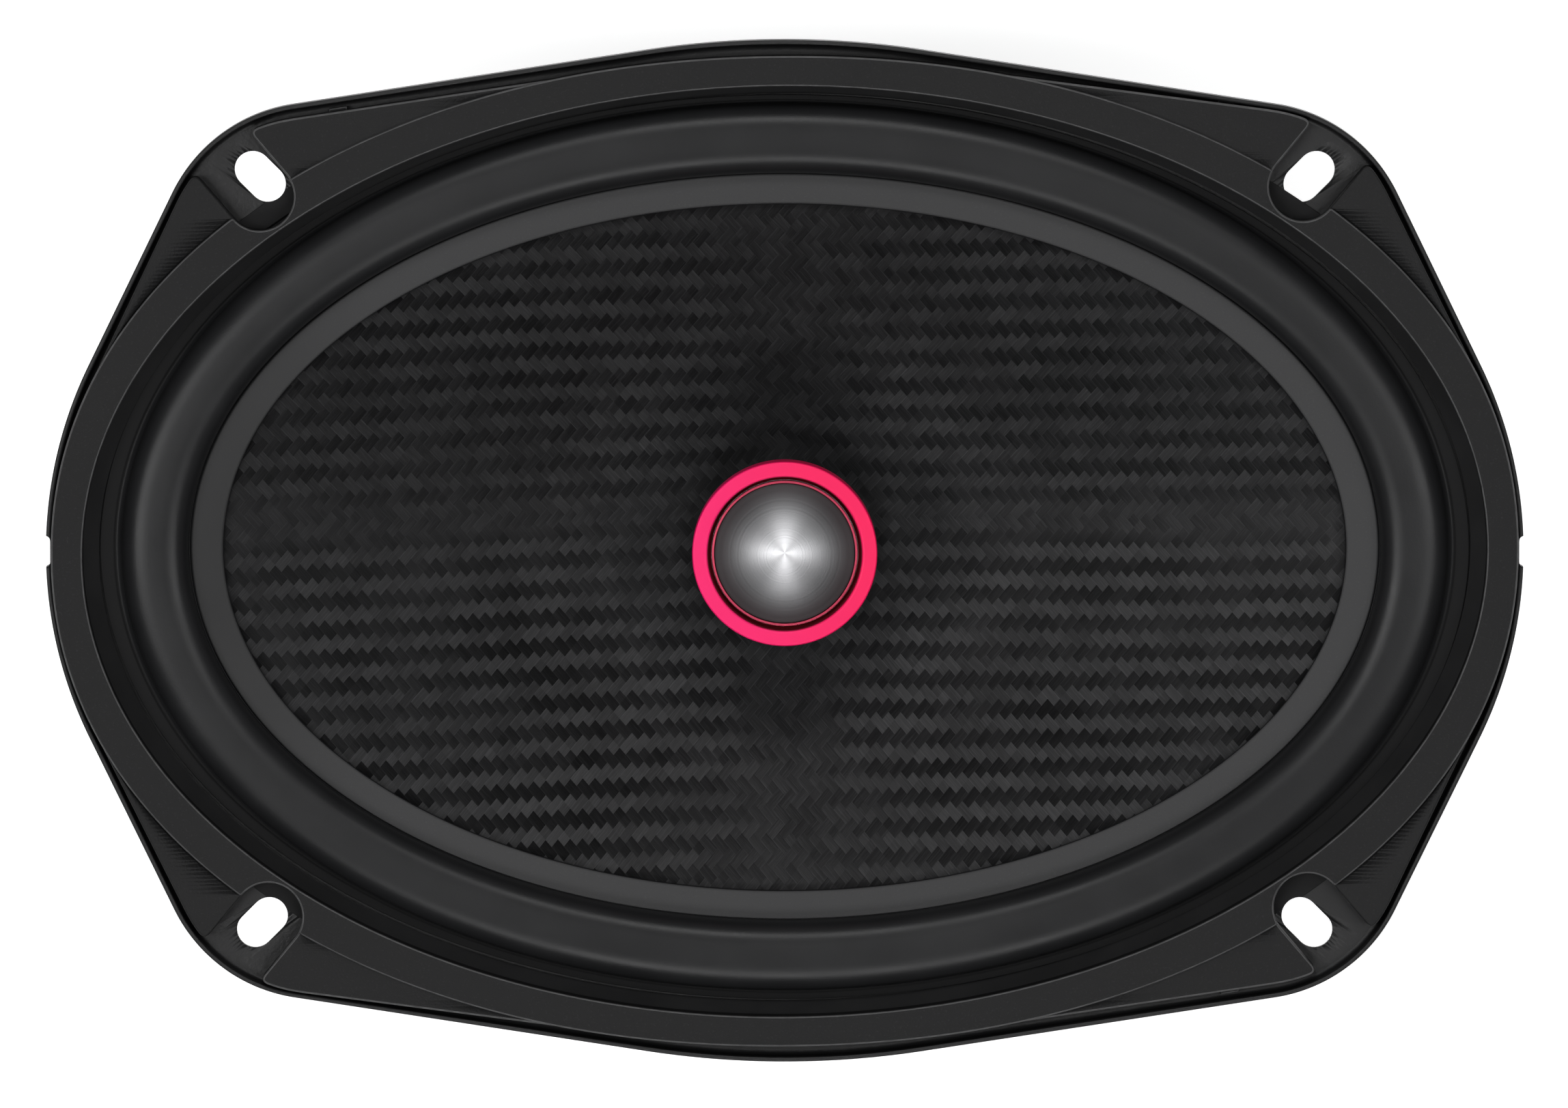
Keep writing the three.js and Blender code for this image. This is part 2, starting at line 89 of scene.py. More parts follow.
def fillet_open(pts, cuts, n=4):
    """The same on an open profile of [r, z]; its two ends stay put."""
    pts = [np.array(p, float) for p in pts]
    cuts = np.broadcast_to(np.asarray(cuts, float), (len(pts),))
    out = [pts[0]]
    for i in range(1, len(pts) - 1):
        a, p, b = pts[i - 1], pts[i], pts[i + 1]
        if cuts[i] <= 0:
            out.append(p)
            continue
        la, lb = np.linalg.norm(a - p), np.linalg.norm(b - p)
        d = min(cuts[i], 0.46 * min(la, lb))
        s, e = p + (a - p) / la * d, p + (b - p) / lb * d
        for k in range(n + 1):
            t = k / n
            out.append((1 - t) ** 2 * s + 2 * t * (1 - t) * p + t * t * e)
    out.append(pts[-1])
    return out


def ring_faces(P, T, closed=True, base=0):
    i = np.arange(P if closed else P - 1)
    j = np.arange(T)
    I, J = np.meshgrid(i, j, indexing="ij")
    I2, J2 = (I + 1) % P, (J + 1) % T
    q = np.stack([I * T + J, I * T + J2, I2 * T + J2, I2 * T + J], -1).reshape(-1, 4) + base
    return q.tolist()


def angles(T):
    return np.arange(T) * TAU / T


def oval_stations(profile, T):
    t = angles(T)
    return np.array([np.stack([a * np.cos(t), b * np.sin(t), np.full(T, z)], -1) for a, b, z in profile])


def oval(name, profile, material, T=360, cuts=0.0, n=4):
    st = fillet(oval_stations(profile, T), cuts, n)
    return make(name, st.reshape(-1, 3), ring_faces(len(st), T), material)


def lathe(name, profile, material, T=96, cuts=0.3, n=4, at=(0, 0, 0)):
    """Closed ring profile of [r, z], or one that starts and ends on the axis."""
    if profile[0][0] > 0:
        ob = oval(name, [(r, r, z) for r, z in profile], material, T, cuts, n)
    else:
        pts = fillet_open(profile, cuts, n)
        inner = pts[1:-1]
        t = angles(T)
        verts = [[0, 0, pts[0][1]]]
        for r, z in inner:
            verts += np.stack([r * np.cos(t), r * np.sin(t), np.full(T, z)], -1).tolist()
        verts.append([0, 0, pts[-1][1]])
        faces = ring_faces(len(inner), T, False, 1)
        last = 1 + (len(inner) - 1) * T
        for j in range(T):
            j2 = (j + 1) % T
            faces.append([0, 1 + j2, 1 + j])
            faces.append([last + j, last + j2, len(verts) - 1])
        ob = make(name, verts, faces, material)
    if any(at):
        ob.data.transform(Matrix.Translation(Vector(at) * MM))
    return ob


def weighted(ob):
    m = ob.modifiers.new("normals", "WEIGHTED_NORMAL")
    m.mode = "FACE_AREA"
    m.weight = 80
    m.keep_sharp = True
    return ob


def bake(ob):
    """Apply every modifier."""
    bpy.context.view_layer.update()
    dg = bpy.context.evaluated_depsgraph_get()
    me = bpy.data.meshes.new_from_object(ob.evaluated_get(dg))
    mats = list(ob.data.materials)
    ob.modifiers.clear()
    ob.data = me
    if not len(me.materials):
        for m in mats:
            me.materials.append(m)
    me.shade_smooth()
    return ob


def cut(ob, tool, op="DIFFERENCE"):
    """ob = ob op tool, both closed meshes. The tool is used up."""
    m = ob.modifiers.new("cut", "BOOLEAN")
    m.operation = op
    m.solver = "MANIFOLD"
    m.object = tool
    before = len(ob.data.polygons)
    bake(ob)
    if not len(ob.data.polygons):
        raise RuntimeError(f"boolean {op} emptied {ob.name} ({before} faces)")
    bpy.data.objects.remove(tool)
    return ob


def slab(name, outline, z0, z1, material, holes=(), bevel=0.0, res=3):
    """A flat plate from a 2-D outline with rounded edges."""
    cu = bpy.data.curves.new(name, "CURVE")
    cu.dimensions = "2D"
    cu.fill_mode = "BOTH"
    for loop in [outline, *holes]:
        sp = cu.splines.new("POLY")
        sp.points.add(len(loop) - 1)
        for k, (x, y) in enumerate(loop):
            sp.points[k].co = (x * MM, y * MM, 0, 1)
        sp.use_cyclic_u = True
    cu.bevel_depth = bevel * MM
    cu.bevel_resolution = res
    cu.offset = -bevel * MM
    cu.extrude = ((z1 - z0) / 2 - bevel) * MM
    tmp = bpy.data.objects.new(name, cu)
    COL.objects.link(tmp)
    bpy.context.view_layer.update()
    dg = bpy.context.evaluated_depsgraph_get()
    me = bpy.data.meshes.new_from_object(tmp.evaluated_get(dg))
    bpy.data.objects.remove(tmp)
    me.transform(Matrix.Translation((0, 0, (z0 + z1) / 2 * MM)))
    bm = bmesh.new()
    bm.from_mesh(me)
    bmesh.ops.remove_doubles(bm, verts=bm.verts, dist=2e-7)
    bmesh.ops.recalc_face_normals(bm, faces=bm.faces)
    bm.to_mesh(me)
    bm.free()
    me.name = name
    me.materials.clear()
    me.materials.append(material)
    me.shade_smooth()
    ob = bpy.data.objects.new(name, me)
    COL.objects.link(ob)
    return ob


def circle(x, y, r, n=32):
    return [(x + r * math.cos(TAU * k / n), y + r * math.sin(TAU * k / n)) for k in range(n)]


def round_poly(pts, cuts, n=6):
    """2-D closed polygon with its corners rounded."""
    st = np.array([[(x, y, 0.0)] for x, y in pts], float)
    return [(p[0][0], p[0][1]) for p in fillet(st, cuts, n)]


def catmull(pts, per=10):
    pts = np.array(pts, float)
    P = np.vstack([2 * pts[0] - pts[1], pts, 2 * pts[-1] - pts[-2]])
    out = []
    for i in range(1, len(P) - 2):
        p0, p1, p2, p3 = P[i - 1], P[i], P[i + 1], P[i + 2]
        t1 = math.sqrt(np.linalg.norm(p1 - p0)) + 1e-9
        t2 = t1 + math.sqrt(np.linalg.norm(p2 - p1)) + 1e-9
        t3 = t2 + math.sqrt(np.linalg.norm(p3 - p2)) + 1e-9
        t0 = 0.0
        for k in range(per):
            t = t1 + (t2 - t1) * k / per
            a1 = (t1 - t) / (t1 - t0) * p0 + (t - t0) / (t1 - t0) * p1
            a2 = (t2 - t) / (t2 - t1) * p1 + (t - t1) / (t2 - t1) * p2
            a3 = (t3 - t) / (t3 - t2) * p2 + (t - t2) / (t3 - t2) * p3
            b1 = (t2 - t) / (t2 - t0) * a1 + (t - t0) / (t2 - t0) * a2
            b2 = (t3 - t) / (t3 - t1) * a2 + (t - t1) / (t3 - t1) * a3
            out.append((t2 - t) / (t2 - t1) * b1 + (t - t1) / (t2 - t1) * b2)
    out.append(pts[-1])
    return np.array(out)


def tube(name, pts, r, material, sides=14, per=10, braid=0.0, pitch=2.2):
    """A wire along a smooth path with rounded ends; braid lifts a woven relief."""
    c = catmull(pts, per)
    if braid:
        L = np.concatenate([[0], np.cumsum(np.linalg.norm(np.diff(c, axis=0), axis=1))])
        k = int(L[-1] / 0.22)
        s = np.linspace(0, L[-1], k)
        c = np.stack([np.interp(s, L, c[:, d]) for d in range(3)], -1)
    tan = np.gradient(c, axis=0)
    tan /= np.linalg.norm(tan, axis=1, keepdims=True)
    up = np.array([1.0, 0, 0]) if abs(tan[0][0]) < 0.8 else np.array([0, 0, 1.0])
    n0 = np.cross(tan[0], up)
    n0 /= np.linalg.norm(n0)
    L = np.concatenate([[0], np.cumsum(np.linalg.norm(np.diff(c, axis=0), axis=1))])
    th = angles(sides)
    rings = []
    for i, p in enumerate(c):
        if i:
            n0 = n0 - tan[i] * np.dot(n0, tan[i])
            n0 /= np.linalg.norm(n0)
        b0 = np.cross(tan[i], n0)
        end = min(L[i], L[-1] - L[i])
        rr = r if end >= r else r * math.sqrt(max(0.12, 1 - (1 - end / r) ** 2))
        rad = rr + (braid * np.cos(th * 4 + L[i] * TAU / pitch) * np.cos(th * 4 - L[i] * TAU / pitch) if braid else 0)
        rad = np.broadcast_to(rad, th.shape)
        rings.append(p + np.outer(rad * np.cos(th), n0) + np.outer(rad * np.sin(th), b0))
    P = len(rings)
    verts = np.array(rings).reshape(-1, 3).tolist() + [c[0].tolist(), c[-1].tolist()]
    faces = ring_faces(P, sides, False)
    faces = [f[::-1] for f in faces]
    for j in range(sides):
        j2 = (j + 1) % sides
        faces.append([P * sides, j, j2][::1])
        faces.append([P * sides + 1, (P - 1) * sides + j2, (P - 1) * sides + j])
    ob = make(name, verts, faces, material)
    bm = bmesh.new()
    bm.from_mesh(ob.data)
    bmesh.ops.recalc_face_normals(bm, faces=bm.faces)
    bm.to_mesh(ob.data)
    bm.free()
    ob.data.shade_smooth()
    return ob


# ------------------------------------------------------------------- materials
class Nodes:
    def __init__(self, name):
        self.mat = bpy.data.materials.new(name)
        self.mat.use_nodes = True
        self.t = self.mat.node_tree
        self.t.nodes.clear()
        self.out = self.t.nodes.new("ShaderNodeOutputMaterial")
        self.bsdf = self.t.nodes.new("ShaderNodeBsdfPrincipled")
        self.t.links.new(self.bsdf.outputs[0], self.out.inputs[0])
        self.tc = self.t.nodes.new("ShaderNodeTexCoord").outputs["Object"]

    def put(self, socket, value):
        if isinstance(value, bpy.types.NodeSocket):
            self.t.links.new(value, socket)
        elif value is not None:
            if isinstance(value, (tuple, list)) and len(value) == 3 and socket.type == "RGBA":
                value = (*value, 1)
            socket.default_value = value

    def math(self, op, a, b=None, c=None, clamp=False):
        n = self.t.nodes.new("ShaderNodeMath")
        n.operation = op
        n.use_clamp = clamp
        for s, v in zip(n.inputs, (a, b, c)):
            self.put(s, v)
        return n.outputs[0]

    def noise(self, mm, detail=2.0, rough=0.5, vector=None, dims="3D", w=0.0):
        n = self.t.nodes.new("ShaderNodeTexNoise")
        n.noise_dimensions = dims
        n.inputs["Scale"].default_value = 1000.0 / mm if vector is None else 1.0
        n.inputs["Detail"].default_value = detail
        n.inputs["Roughness"].default_value = rough
        self.put(n.inputs["Vector"] if dims != "1D" else n.inputs["W"], vector if vector is not None else self.tc)
        return n.outputs["Fac"]

    def ramp(self, fac, lo, hi, to0=0.0, to1=1.0):
        n = self.t.nodes.new("ShaderNodeMapRange")
        n.interpolation_type = "SMOOTHSTEP"
        for s, v in zip(n.inputs, (fac, lo, hi, to0, to1)):
            self.put(s, v)
        return n.outputs[0]

    def mix(self, fac, a, b):
        n = self.t.nodes.new("ShaderNodeMix")
        n.data_type = "RGBA"
        self.put(n.inputs["Factor"], fac)
        self.put(n.inputs[6], a)
        self.put(n.inputs[7], b)
        return n.outputs[2]

    def xyz(self):
        n = self.t.nodes.new("ShaderNodeSeparateXYZ")
        self.t.links.new(self.tc, n.inputs[0])
        return [self.math("MULTIPLY", s, 1000.0) for s in n.outputs]

    def vec(self, x, y, z):
        n = self.t.nodes.new("ShaderNodeCombineXYZ")
        for s, v in zip(n.inputs, (x, y, z)):
            self.put(s, v)
        return n.outputs[0]

    def bump(self, height, mm, normal=None, strength=1.0):
        n = self.t.nodes.new("ShaderNodeBump")
        n.inputs["Distance"].default_value = mm * MM
        n.inputs["Strength"].default_value = strength
        self.put(n.inputs["Height"], height)
        if normal is not None:
            self.put(n.inputs["Normal"], normal)
        return n.outputs[0]

    def set(self, **kw):
        for k, v in kw.items():
            self.put(self.bsdf.inputs[k.replace("_", " ")], v)
        return self.mat


def shade(c, k):
    return tuple(min(1.0, v * k) for v in c)


def surface(name, base, rough, metal=0.0, grain=0.4, depth=0.02, var=0.15, var_mm=14.0, rough_var=0.08,
            spec=0.5, coat=0.0, speck=0.0, turned=0.0, aniso=0.0, axis_turned=True, coarse=0.0, coarse_mm=3.0, dust=0.0, painted_star_and_pole=0.0, painted_shade_left=0.0):
    """Painted, moulded, cast or turned surface: mottled colour, grain relief, uneven gloss."""
    n = Nodes(name)
    big = n.noise(var_mm, 3, 0.6)
    fine = n.noise(grain, 2, 0.55)
    colour = n.mix(n.ramp(big, 0.3, 0.7), shade(base, 1 - var), shade(base, 1 + var))
    if speck:
        colour = n.mix(n.ramp(fine, 0.56, 0.74, 0, speck), colour, shade(base, 2.2))
    if dust:
        colour = n.mix(n.math("MULTIPLY", n.ramp(n.noise(5.0, 5, 0.7), 0.5, 0.8), dust), colour, (0.35, 0.33, 0.3))
    if painted_star_and_pole or painted_shade_left:
        x, y, z = n.xyz()
    if painted_star_and_pole:                                     # painted highlight: a faint four-rayed star of lighter base colour near the pole
        four = n.math("COSINE", n.math("MULTIPLY", n.math("ARCTAN2", n.math("SUBTRACT", y, 0.5), x), 4.0))
        out = n.math("SQRT", n.math("ADD", n.math("MULTIPLY", x, x), n.math("MULTIPLY", y, y)))
        near = n.ramp(out, 1.0, 9.0, painted_star_and_pole, 0.3 * painted_star_and_pole)
        colour = n.mix(n.math("ADD", 0.5, n.math("MULTIPLY", four, n.math("MULTIPLY", near, 2.0)), clamp=True), shade(base, 0.65), shade(base, 1.35))
        # painted shade: the base colour darkens towards the dome's rim
        colour = n.mix(n.ramp(out, 5.0, 11.0, 0.0, 0.55), colour, shade(base, 0.25))
    # painted shade: base colour darker towards -X
    if painted_shade_left:
        colour = n.mix(n.ramp(x, -96, -60, painted_shade_left, 0.0), colour, shade(base, 0.3))
    r = n.math("ADD", rough, n.math("MULTIPLY", n.math("SUBTRACT", big, 0.5), rough_var * 2))
    r = n.math("ADD", r, n.math("MULTIPLY", n.math("SUBTRACT", fine, 0.5), rough_var), clamp=True)
    normal = n.bump(fine, depth)
    if coarse:
        normal = n.bump(n.noise(coarse_mm, 2, 0.5), coarse, normal)
    if turned:
        x, y, z = n.xyz()
        rad = n.math("SQRT", n.math("ADD", n.math("MULTIPLY", x, x), n.math("MULTIPLY", y, y)))
        lines = n.noise(1.0, 3, 0.7, n.math("MULTIPLY", n.math("ADD", rad, n.math("MULTIPLY", z, 0.7)), 1.0 / turned), "1D")
        normal = n.bump(lines, 0.012, normal)
        r = n.math("ADD", r, n.math("MULTIPLY", n.math("SUBTRACT", lines, 0.5), 0.12), clamp=True)
    if painted_star_and_pole:                                     # turned round a pole a little off the axis
        n.put(n.bsdf.inputs["Anisotropic"], aniso)
        n.put(n.bsdf.inputs["Anisotropic Rotation"], 0.25)
        n.t.links.new(n.vec(n.math("SUBTRACT", 0.5, y), x, 0.0), n.bsdf.inputs["Tangent"])
    elif aniso:
        tan = n.t.nodes.new("ShaderNodeTangent")
        tan.direction_type = "RADIAL"
        tan.axis = "Z"
        n.put(n.bsdf.inputs["Anisotropic"], aniso)
        n.put(n.bsdf.inputs["Anisotropic Rotation"], 0.25)
        n.t.links.new(tan.outputs[0], n.bsdf.inputs["Tangent"])
    return n.set(Base_Color=colour, Roughness=r, Metallic=metal, Normal=normal, Specular_IOR_Level=spec,
                 Coat_Weight=coat, Coat_Roughness=0.25)


def woven():
    """2/2 twill of flat resin-bonded tows, its ribs lying along X."""
    n = Nodes("woven_cone")
    x, y, z = n.xyz()
    drift = n.math("MULTIPLY", n.math("SUBTRACT", n.noise(60.0, 1, 0.5), 0.5), 2.2)
    y = n.math("ADD", n.math("ADD", y, n.math("MULTIPLY", x, -0.022)), drift)
    u = n.math("DIVIDE", x, 1.96)
    v = n.math("DIVIDE", y, 2.265)
    p, q = n.math("ADD", u, v), n.math("SUBTRACT", v, u)
    fp, fq = n.math("FRACT", p), n.math("FRACT", q)
    k = n.math("FLOORED_MODULO", n.math("ADD", n.math("FLOOR", p), n.math("FLOOR", q)), 4.0)
    back = n.math("LESS_THAN", k, 1.5)          # the "\" tow is on top
    fwd = n.math("SUBTRACT", 1.0, back)

    def pick(a, b):
        return n.math("ADD", n.math("MULTIPLY", a, back), n.math("MULTIPLY", b, fwd))

    across = pick(fp, fq)                        # 0..1 across the tow on top
    along = pick(n.math("DIVIDE", n.math("ADD", k, fq), 2.0),
                 n.math("DIVIDE", n.math("ADD", n.math("SUBTRACT", k, 2.0), fp), 2.0))
    tow_id = pick(n.math("FLOOR", p), n.math("ADD", n.math("FLOOR", q), 517.3))
    c2 = n.math("SUBTRACT", across, 0.5)
    arch = n.math("SUBTRACT", 1.0, n.math("POWER", n.math("ABSOLUTE", n.math("MULTIPLY", c2, 2.0)), 3.0))
    dip = n.math("SINE", n.math("MULTIPLY", n.math("MINIMUM", n.math("MAXIMUM", along, 0.0), 1.0), math.pi))
    height = n.math("ADD", n.math("MULTIPLY", arch, 0.45), n.math("MULTIPLY", n.math("POWER", dip, 0.6), 0.55))
    fil = n.noise(1.0, 3, 0.65, n.vec(n.math("MULTIPLY", across, 9.0), n.math("MULTIPLY", pick(q, p), 0.35),
                                      n.math("MULTIPLY", tow_id, 7.31)))
    per_tow = n.noise(1.0, 0, 0.5, n.vec(tow_id, n.math("MULTIPLY", n.math("FLOOR", n.math("DIVIDE", pick(q, p), 2.0)), 3.7), 0.5))
    edge = n.ramp(n.math("ABSOLUTE", c2), 0.44, 0.5)
    painted_dip_shade = n.ramp(dip, 0.0, 0.32, 1.0, 0.0)
    base = n.mix(n.ramp(per_tow, 0.3, 0.7), (0.0098, 0.0098, 0.0102), (0.0128, 0.0128, 0.0133))
    # painted highlight: a lighter hairline of base colour along each tow's edge
    base = n.mix(n.math("MULTIPLY", edge, 0.30), base, (0.05, 0.05, 0.052))
    # painted shade: darker base colour where a tow dips under the one crossing it
    base = n.mix(n.math("MULTIPLY", painted_dip_shade, 0.25), base, (0.007, 0.007, 0.0073))
    base = n.mix(n.ramp(fil, 0.42, 0.78, 0, 0.30), base, (0.045, 0.045, 0.047))
    # painted sheen: tows that point at the middle are painted lighter than those lying across, all round the oval
    gx = n.math("DIVIDE", x, 1.55)
    gy = n.math("DIVIDE", n.math("SUBTRACT", n.xyz()[1], 4.0), 0.72)
    gg = n.math("ADD", n.math("ADD", n.math("MULTIPLY", gx, gx), n.math("MULTIPLY", gy, gy)), 30.0)
    lean = n.math("DIVIDE", n.math("MULTIPLY", n.math("MULTIPLY", gx, gy), 2.0), gg)      # + where "/" is radial
    amount = n.ramp(n.math("ABSOLUTE", lean), 0.0, 0.42)
    rr = n.math("SQRT", n.math("ADD", n.math("MULTIPLY", x, x), n.math("MULTIPLY", y, y)))
    amount = n.math("MULTIPLY", amount, n.ramp(y, -28, 28, 0.92, 0.50))
    amount = n.math("MULTIPLY", amount, n.ramp(rr, 18, 60, 0.72, 1.0))
    amount = n.math("MULTIPLY", amount, n.ramp(n.noise(22.0, 2, 0.5), 0.3, 0.7, 0.6, 1.25))
    slashes = n.math("GREATER_THAN", lean, 0.0)
    radial = n.math("ADD", n.math("MULTIPLY", slashes, fwd), n.math("MULTIPLY", n.math("SUBTRACT", 1.0, slashes), back))
    gain = n.math("ADD", 1.0, n.math("MULTIPLY", amount, n.math("SUBTRACT", n.math("MULTIPLY", radial, 0.85), 0.52)))
    gain = n.math("MULTIPLY", gain, n.ramp(per_tow, 0.25, 0.75, 0.90, 1.10))
    # painted shade in a ring round the tweeter, painted light just outside it where the tweeter's shadow falls, and
    # painted light growing towards +X and towards -Y
    painted_light_and_shade = n.math("MULTIPLY", n.ramp(rr, 14.5, 19.5, 0.45, 1.0), n.ramp(rr, 21, 46, 1.45, 1.0))
    painted_light_and_shade = n.math("MULTIPLY", painted_light_and_shade, n.math("MULTIPLY", n.ramp(x, -80, 80, 0.98, 1.14), n.ramp(y, 34, -42, 0.86, 1.16)))
    gain = n.math("MULTIPLY", gain, painted_light_and_shade)
    scale = n.t.nodes.new("ShaderNodeVectorMath")
    scale.operation = "SCALE"
    n.put(scale.inputs[0], base)
    n.put(scale.inputs["Scale"], gain)
    base = scale.outputs[0]
    normal = n.bump(height, 0.045)
    normal = n.bump(fil, 0.03, normal)
    r = n.math("ADD", 0.40, n.math("MULTIPLY", fil, 0.10))
    tx = 1.96 / math.hypot(1.96, 2.265)
    ty = 2.265 / math.hypot(1.96, 2.265)
    # the resin over each tow spreads its glint along the tow, which lights the tows that point at the middle
    tangent = n.vec(n.math("MULTIPLY", n.math("SUBTRACT", fwd, back), tx), ty, 0.0)
    n.put(n.bsdf.inputs["Tangent"], tangent)
    return n.set(Base_Color=base, Roughness=r, Metallic=0.0, Normal=normal, Specular_IOR_Level=n.math("MULTIPLY", 0.115, gain),
                 Anisotropic=0.9)


def anodised():
    """Rose-red finish over a turned ring, a shade pinker towards -X."""
    n = Nodes("red_anodised")
    x, y, z = n.xyz()
    fine = n.noise(0.25, 2, 0.5)
    big = n.noise(7.0, 2, 0.5)
    colour = n.mix(n.ramp(n.math("SUBTRACT", x, n.math("MULTIPLY", y, -0.3)), -16, 16), (0.90, 0.011, 0.150), (0.90, 0.007, 0.098))
    colour = n.mix(n.ramp(big, 0.3, 0.7, 0, 0.25), colour, (0.84, 0.008, 0.115))
    rad = n.math("SQRT", n.math("ADD", n.math("MULTIPLY", x, x), n.math("MULTIPLY", y, y)))
    # painted shade: the bezel's inner wall, facing into the groove, is painted dark red
    colour = n.mix(n.ramp(rad, 12.25, 12.4, 1.0, 0.0), colour, (0.20, 0.003, 0.018))
    lines = n.noise(1.0, 3, 0.7, n.math("MULTIPLY", n.math("ADD", rad, z), 5.0), "1D")
    normal = n.bump(lines, 0.006, n.bump(fine, 0.004))
    r = n.math("ADD", 0.36, n.math("MULTIPLY", fine, 0.08))
    return n.set(Base_Color=colour, Roughness=r, Metallic=0.1, Normal=normal, Specular_IOR_Level=0.3)


MAT = dict(
    basket_paint=surface("basket_paint", (0.0080, 0.0080, 0.0084), 0.43, grain=0.45, depth=0.02, coarse=0.05, coarse_mm=0.9, spec=0.30, dust=0.004),
    gasket_plastic=surface("gasket_plastic", (0.0072, 0.0072, 0.0075), 0.60, grain=0.36, depth=0.075, var=0.12, speck=0.9, spec=0.21, coarse=0.02, coarse_mm=1.1),
    surround_rubber=surface("surround_rubber", (0.0120, 0.0122, 0.0129), 0.365, grain=0.3, depth=0.012, var=0.08, spec=0.228, speck=0.08),
    # painted highlight: lighter copy of the gasket plastic for its rounded edges, with a glossier finish of its own
    gasket_edge_painted_highlight=surface("gasket_edge_painted_highlight", (0.048, 0.048, 0.049), 0.46, grain=0.3, depth=0.02, var=0.25, var_mm=2.0, spec=0.4),
    # the flat flange's darker colour is painted shade of the deep well under the gasket; its lower gloss is its own
    # finish
    surround_flange=surface("surround_flange", (0.0092, 0.0092, 0.0095), 0.62, grain=0.35, depth=0.008, var=0.08, spec=0.12, speck=0.1),
    # painted light: a lighter copy of the gasket plastic for its skirt down in the shaded well
    gasket_skirt_painted_light=surface("gasket_skirt_painted_light", (0.0205, 0.0205, 0.021), 0.62, grain=0.35, depth=0.008, var=0.12, spec=0.12, speck=0.1),
    # the land's base colour is painted darker towards -X as shade
    surround_land=surface("surround_land", (0.030, 0.030, 0.031), 0.62, grain=0.35, depth=0.03, var=0.06, spec=0.35, speck=0.2, painted_shade_left=0.72),
    woven_cone=woven(),
    red_anodised=anodised(),
    # painted shade: a darker copy of the red finish for the dome's slanted ring
    ring_red_painted_shade=surface("ring_red_painted_shade", (0.42, 0.040, 0.080), 0.42, metal=0.5, grain=0.25, depth=0.004, var=0.04, spec=0.3),
    # the dome's base colour carries a painted four-rayed highlight and painted shade towards its rim
    dome_metal=surface("dome_metal", (0.15, 0.15, 0.154), 0.450, metal=1.0, grain=0.22, depth=0.005, var=0.02, rough_var=0.03, turned=0.18, aniso=0.62, painted_star_and_pole=0.12),
    # painted reflection and shade: the tweeter's rubber edge is coloured dark red for the red bezel mirrored in its
    # shaded groove
    suspension_rubber=surface("suspension_rubber", (0.085, 0.0028, 0.005), 0.6, grain=0.2, depth=0.01, spec=0.1),
    black_plastic=surface("post_plastic", (0.014, 0.014, 0.015), 0.5, grain=0.35, depth=0.02),
    black_steel=surface("black_steel", (0.030, 0.030, 0.032), 0.36, metal=0.85, grain=0.4, depth=0.008, turned=0.5, aniso=0.4, var=0.2),
    ferrite=surface("ferrite", (0.045, 0.045, 0.048), 0.68, grain=0.5, depth=0.03, coarse=0.05, coarse_mm=4.0, speck=0.3, var=0.2),
    zinc_steel=surface("zinc_steel", (0.50, 0.50, 0.49), 0.38, metal=1.0, grain=0.6, depth=0.01, turned=0.6, aniso=0.5, var=0.1),
    rivet_steel=surface("rivet_steel", (0.62, 0.62, 0.63), 0.28, metal=1.0, grain=0.4, depth=0.008),
    tweeter_steel=surface("tweeter_steel", (0.5, 0.5, 0.5), 0.35, metal=1.0, grain=0.4, depth=0.008),
    neodymium=surface("neodymium", (0.65, 0.65, 0.66), 0.2, metal=1.0, grain=0.6, depth=0.004),
    copper=surface("copper", (0.72, 0.30, 0.14), 0.3, metal=1.0, grain=0.3, depth=0.01),
    phenolic=surface("phenolic", (0.16, 0.075, 0.028), 0.5, grain=0.5, depth=0.012, var=0.2, var_mm=5, speck=0.15),
    gold_plate=surface("gold_plate", (0.85, 0.62, 0.22), 0.25, metal=1.0, grain=0.5, depth=0.006),
    tin_plate=surface("tin_plate", (0.72, 0.72, 0.72), 0.3, metal=1.0, grain=0.5, depth=0.008),
    capacitor_sleeve=surface("capacitor_sleeve", (0.012, 0.035, 0.085), 0.3, grain=1.2, depth=0.02, coat=0.3, var=0.1),
    lead_wire=surface("lead_wire", (0.7, 0.7, 0.7), 0.28, metal=1.0, grain=0.3, depth=0.006),
    lead_red=surface("lead_red", (0.36, 0.012, 0.015), 0.42, grain=0.4, depth=0.01),
    lead_black=surface("lead_black", (0.010, 0.010, 0.011), 0.42, grain=0.4, depth=0.01),
    tinsel=surface("tinsel", (0.62, 0.30, 0.14), 0.4, metal=0.9, grain=0.2, depth=0.02, speck=0.3),
    former_film=surface("former_film", (0.010, 0.0095, 0.009), 0.4, grain=0.6, depth=0.01, coat=0.1),
    solder=surface("solder", (0.6, 0.6, 0.62), 0.3, metal=1.0, grain=0.8, depth=0.02),
)


def cloth_material():
    n = Nodes("spider_cloth")
    x, y, z = n.xyz()
    wx = n.math("SINE", n.math("MULTIPLY", x, TAU / 0.7))
    wy = n.math("SINE", n.math("MULTIPLY", y, TAU / 0.7))
    weave = n.math("MULTIPLY", n.math("ADD", n.math("ABSOLUTE", wx), n.math("ABSOLUTE", wy)), 0.5)
    big = n.noise(9.0, 3, 0.6)
    colour = n.mix(n.ramp(big, 0.3, 0.7), (0.36, 0.24, 0.085), (0.46, 0.32, 0.13))
    colour = n.mix(n.ramp(weave, 0.1, 0.7), shade((0.36, 0.24, 0.09), 0.45), colour)
    normal = n.bump(weave, 0.06)
    return n.set(Base_Color=colour, Roughness=0.85, Normal=normal, Specular_IOR_Level=0.25)


MAT["spider_cloth"] = cloth_material()

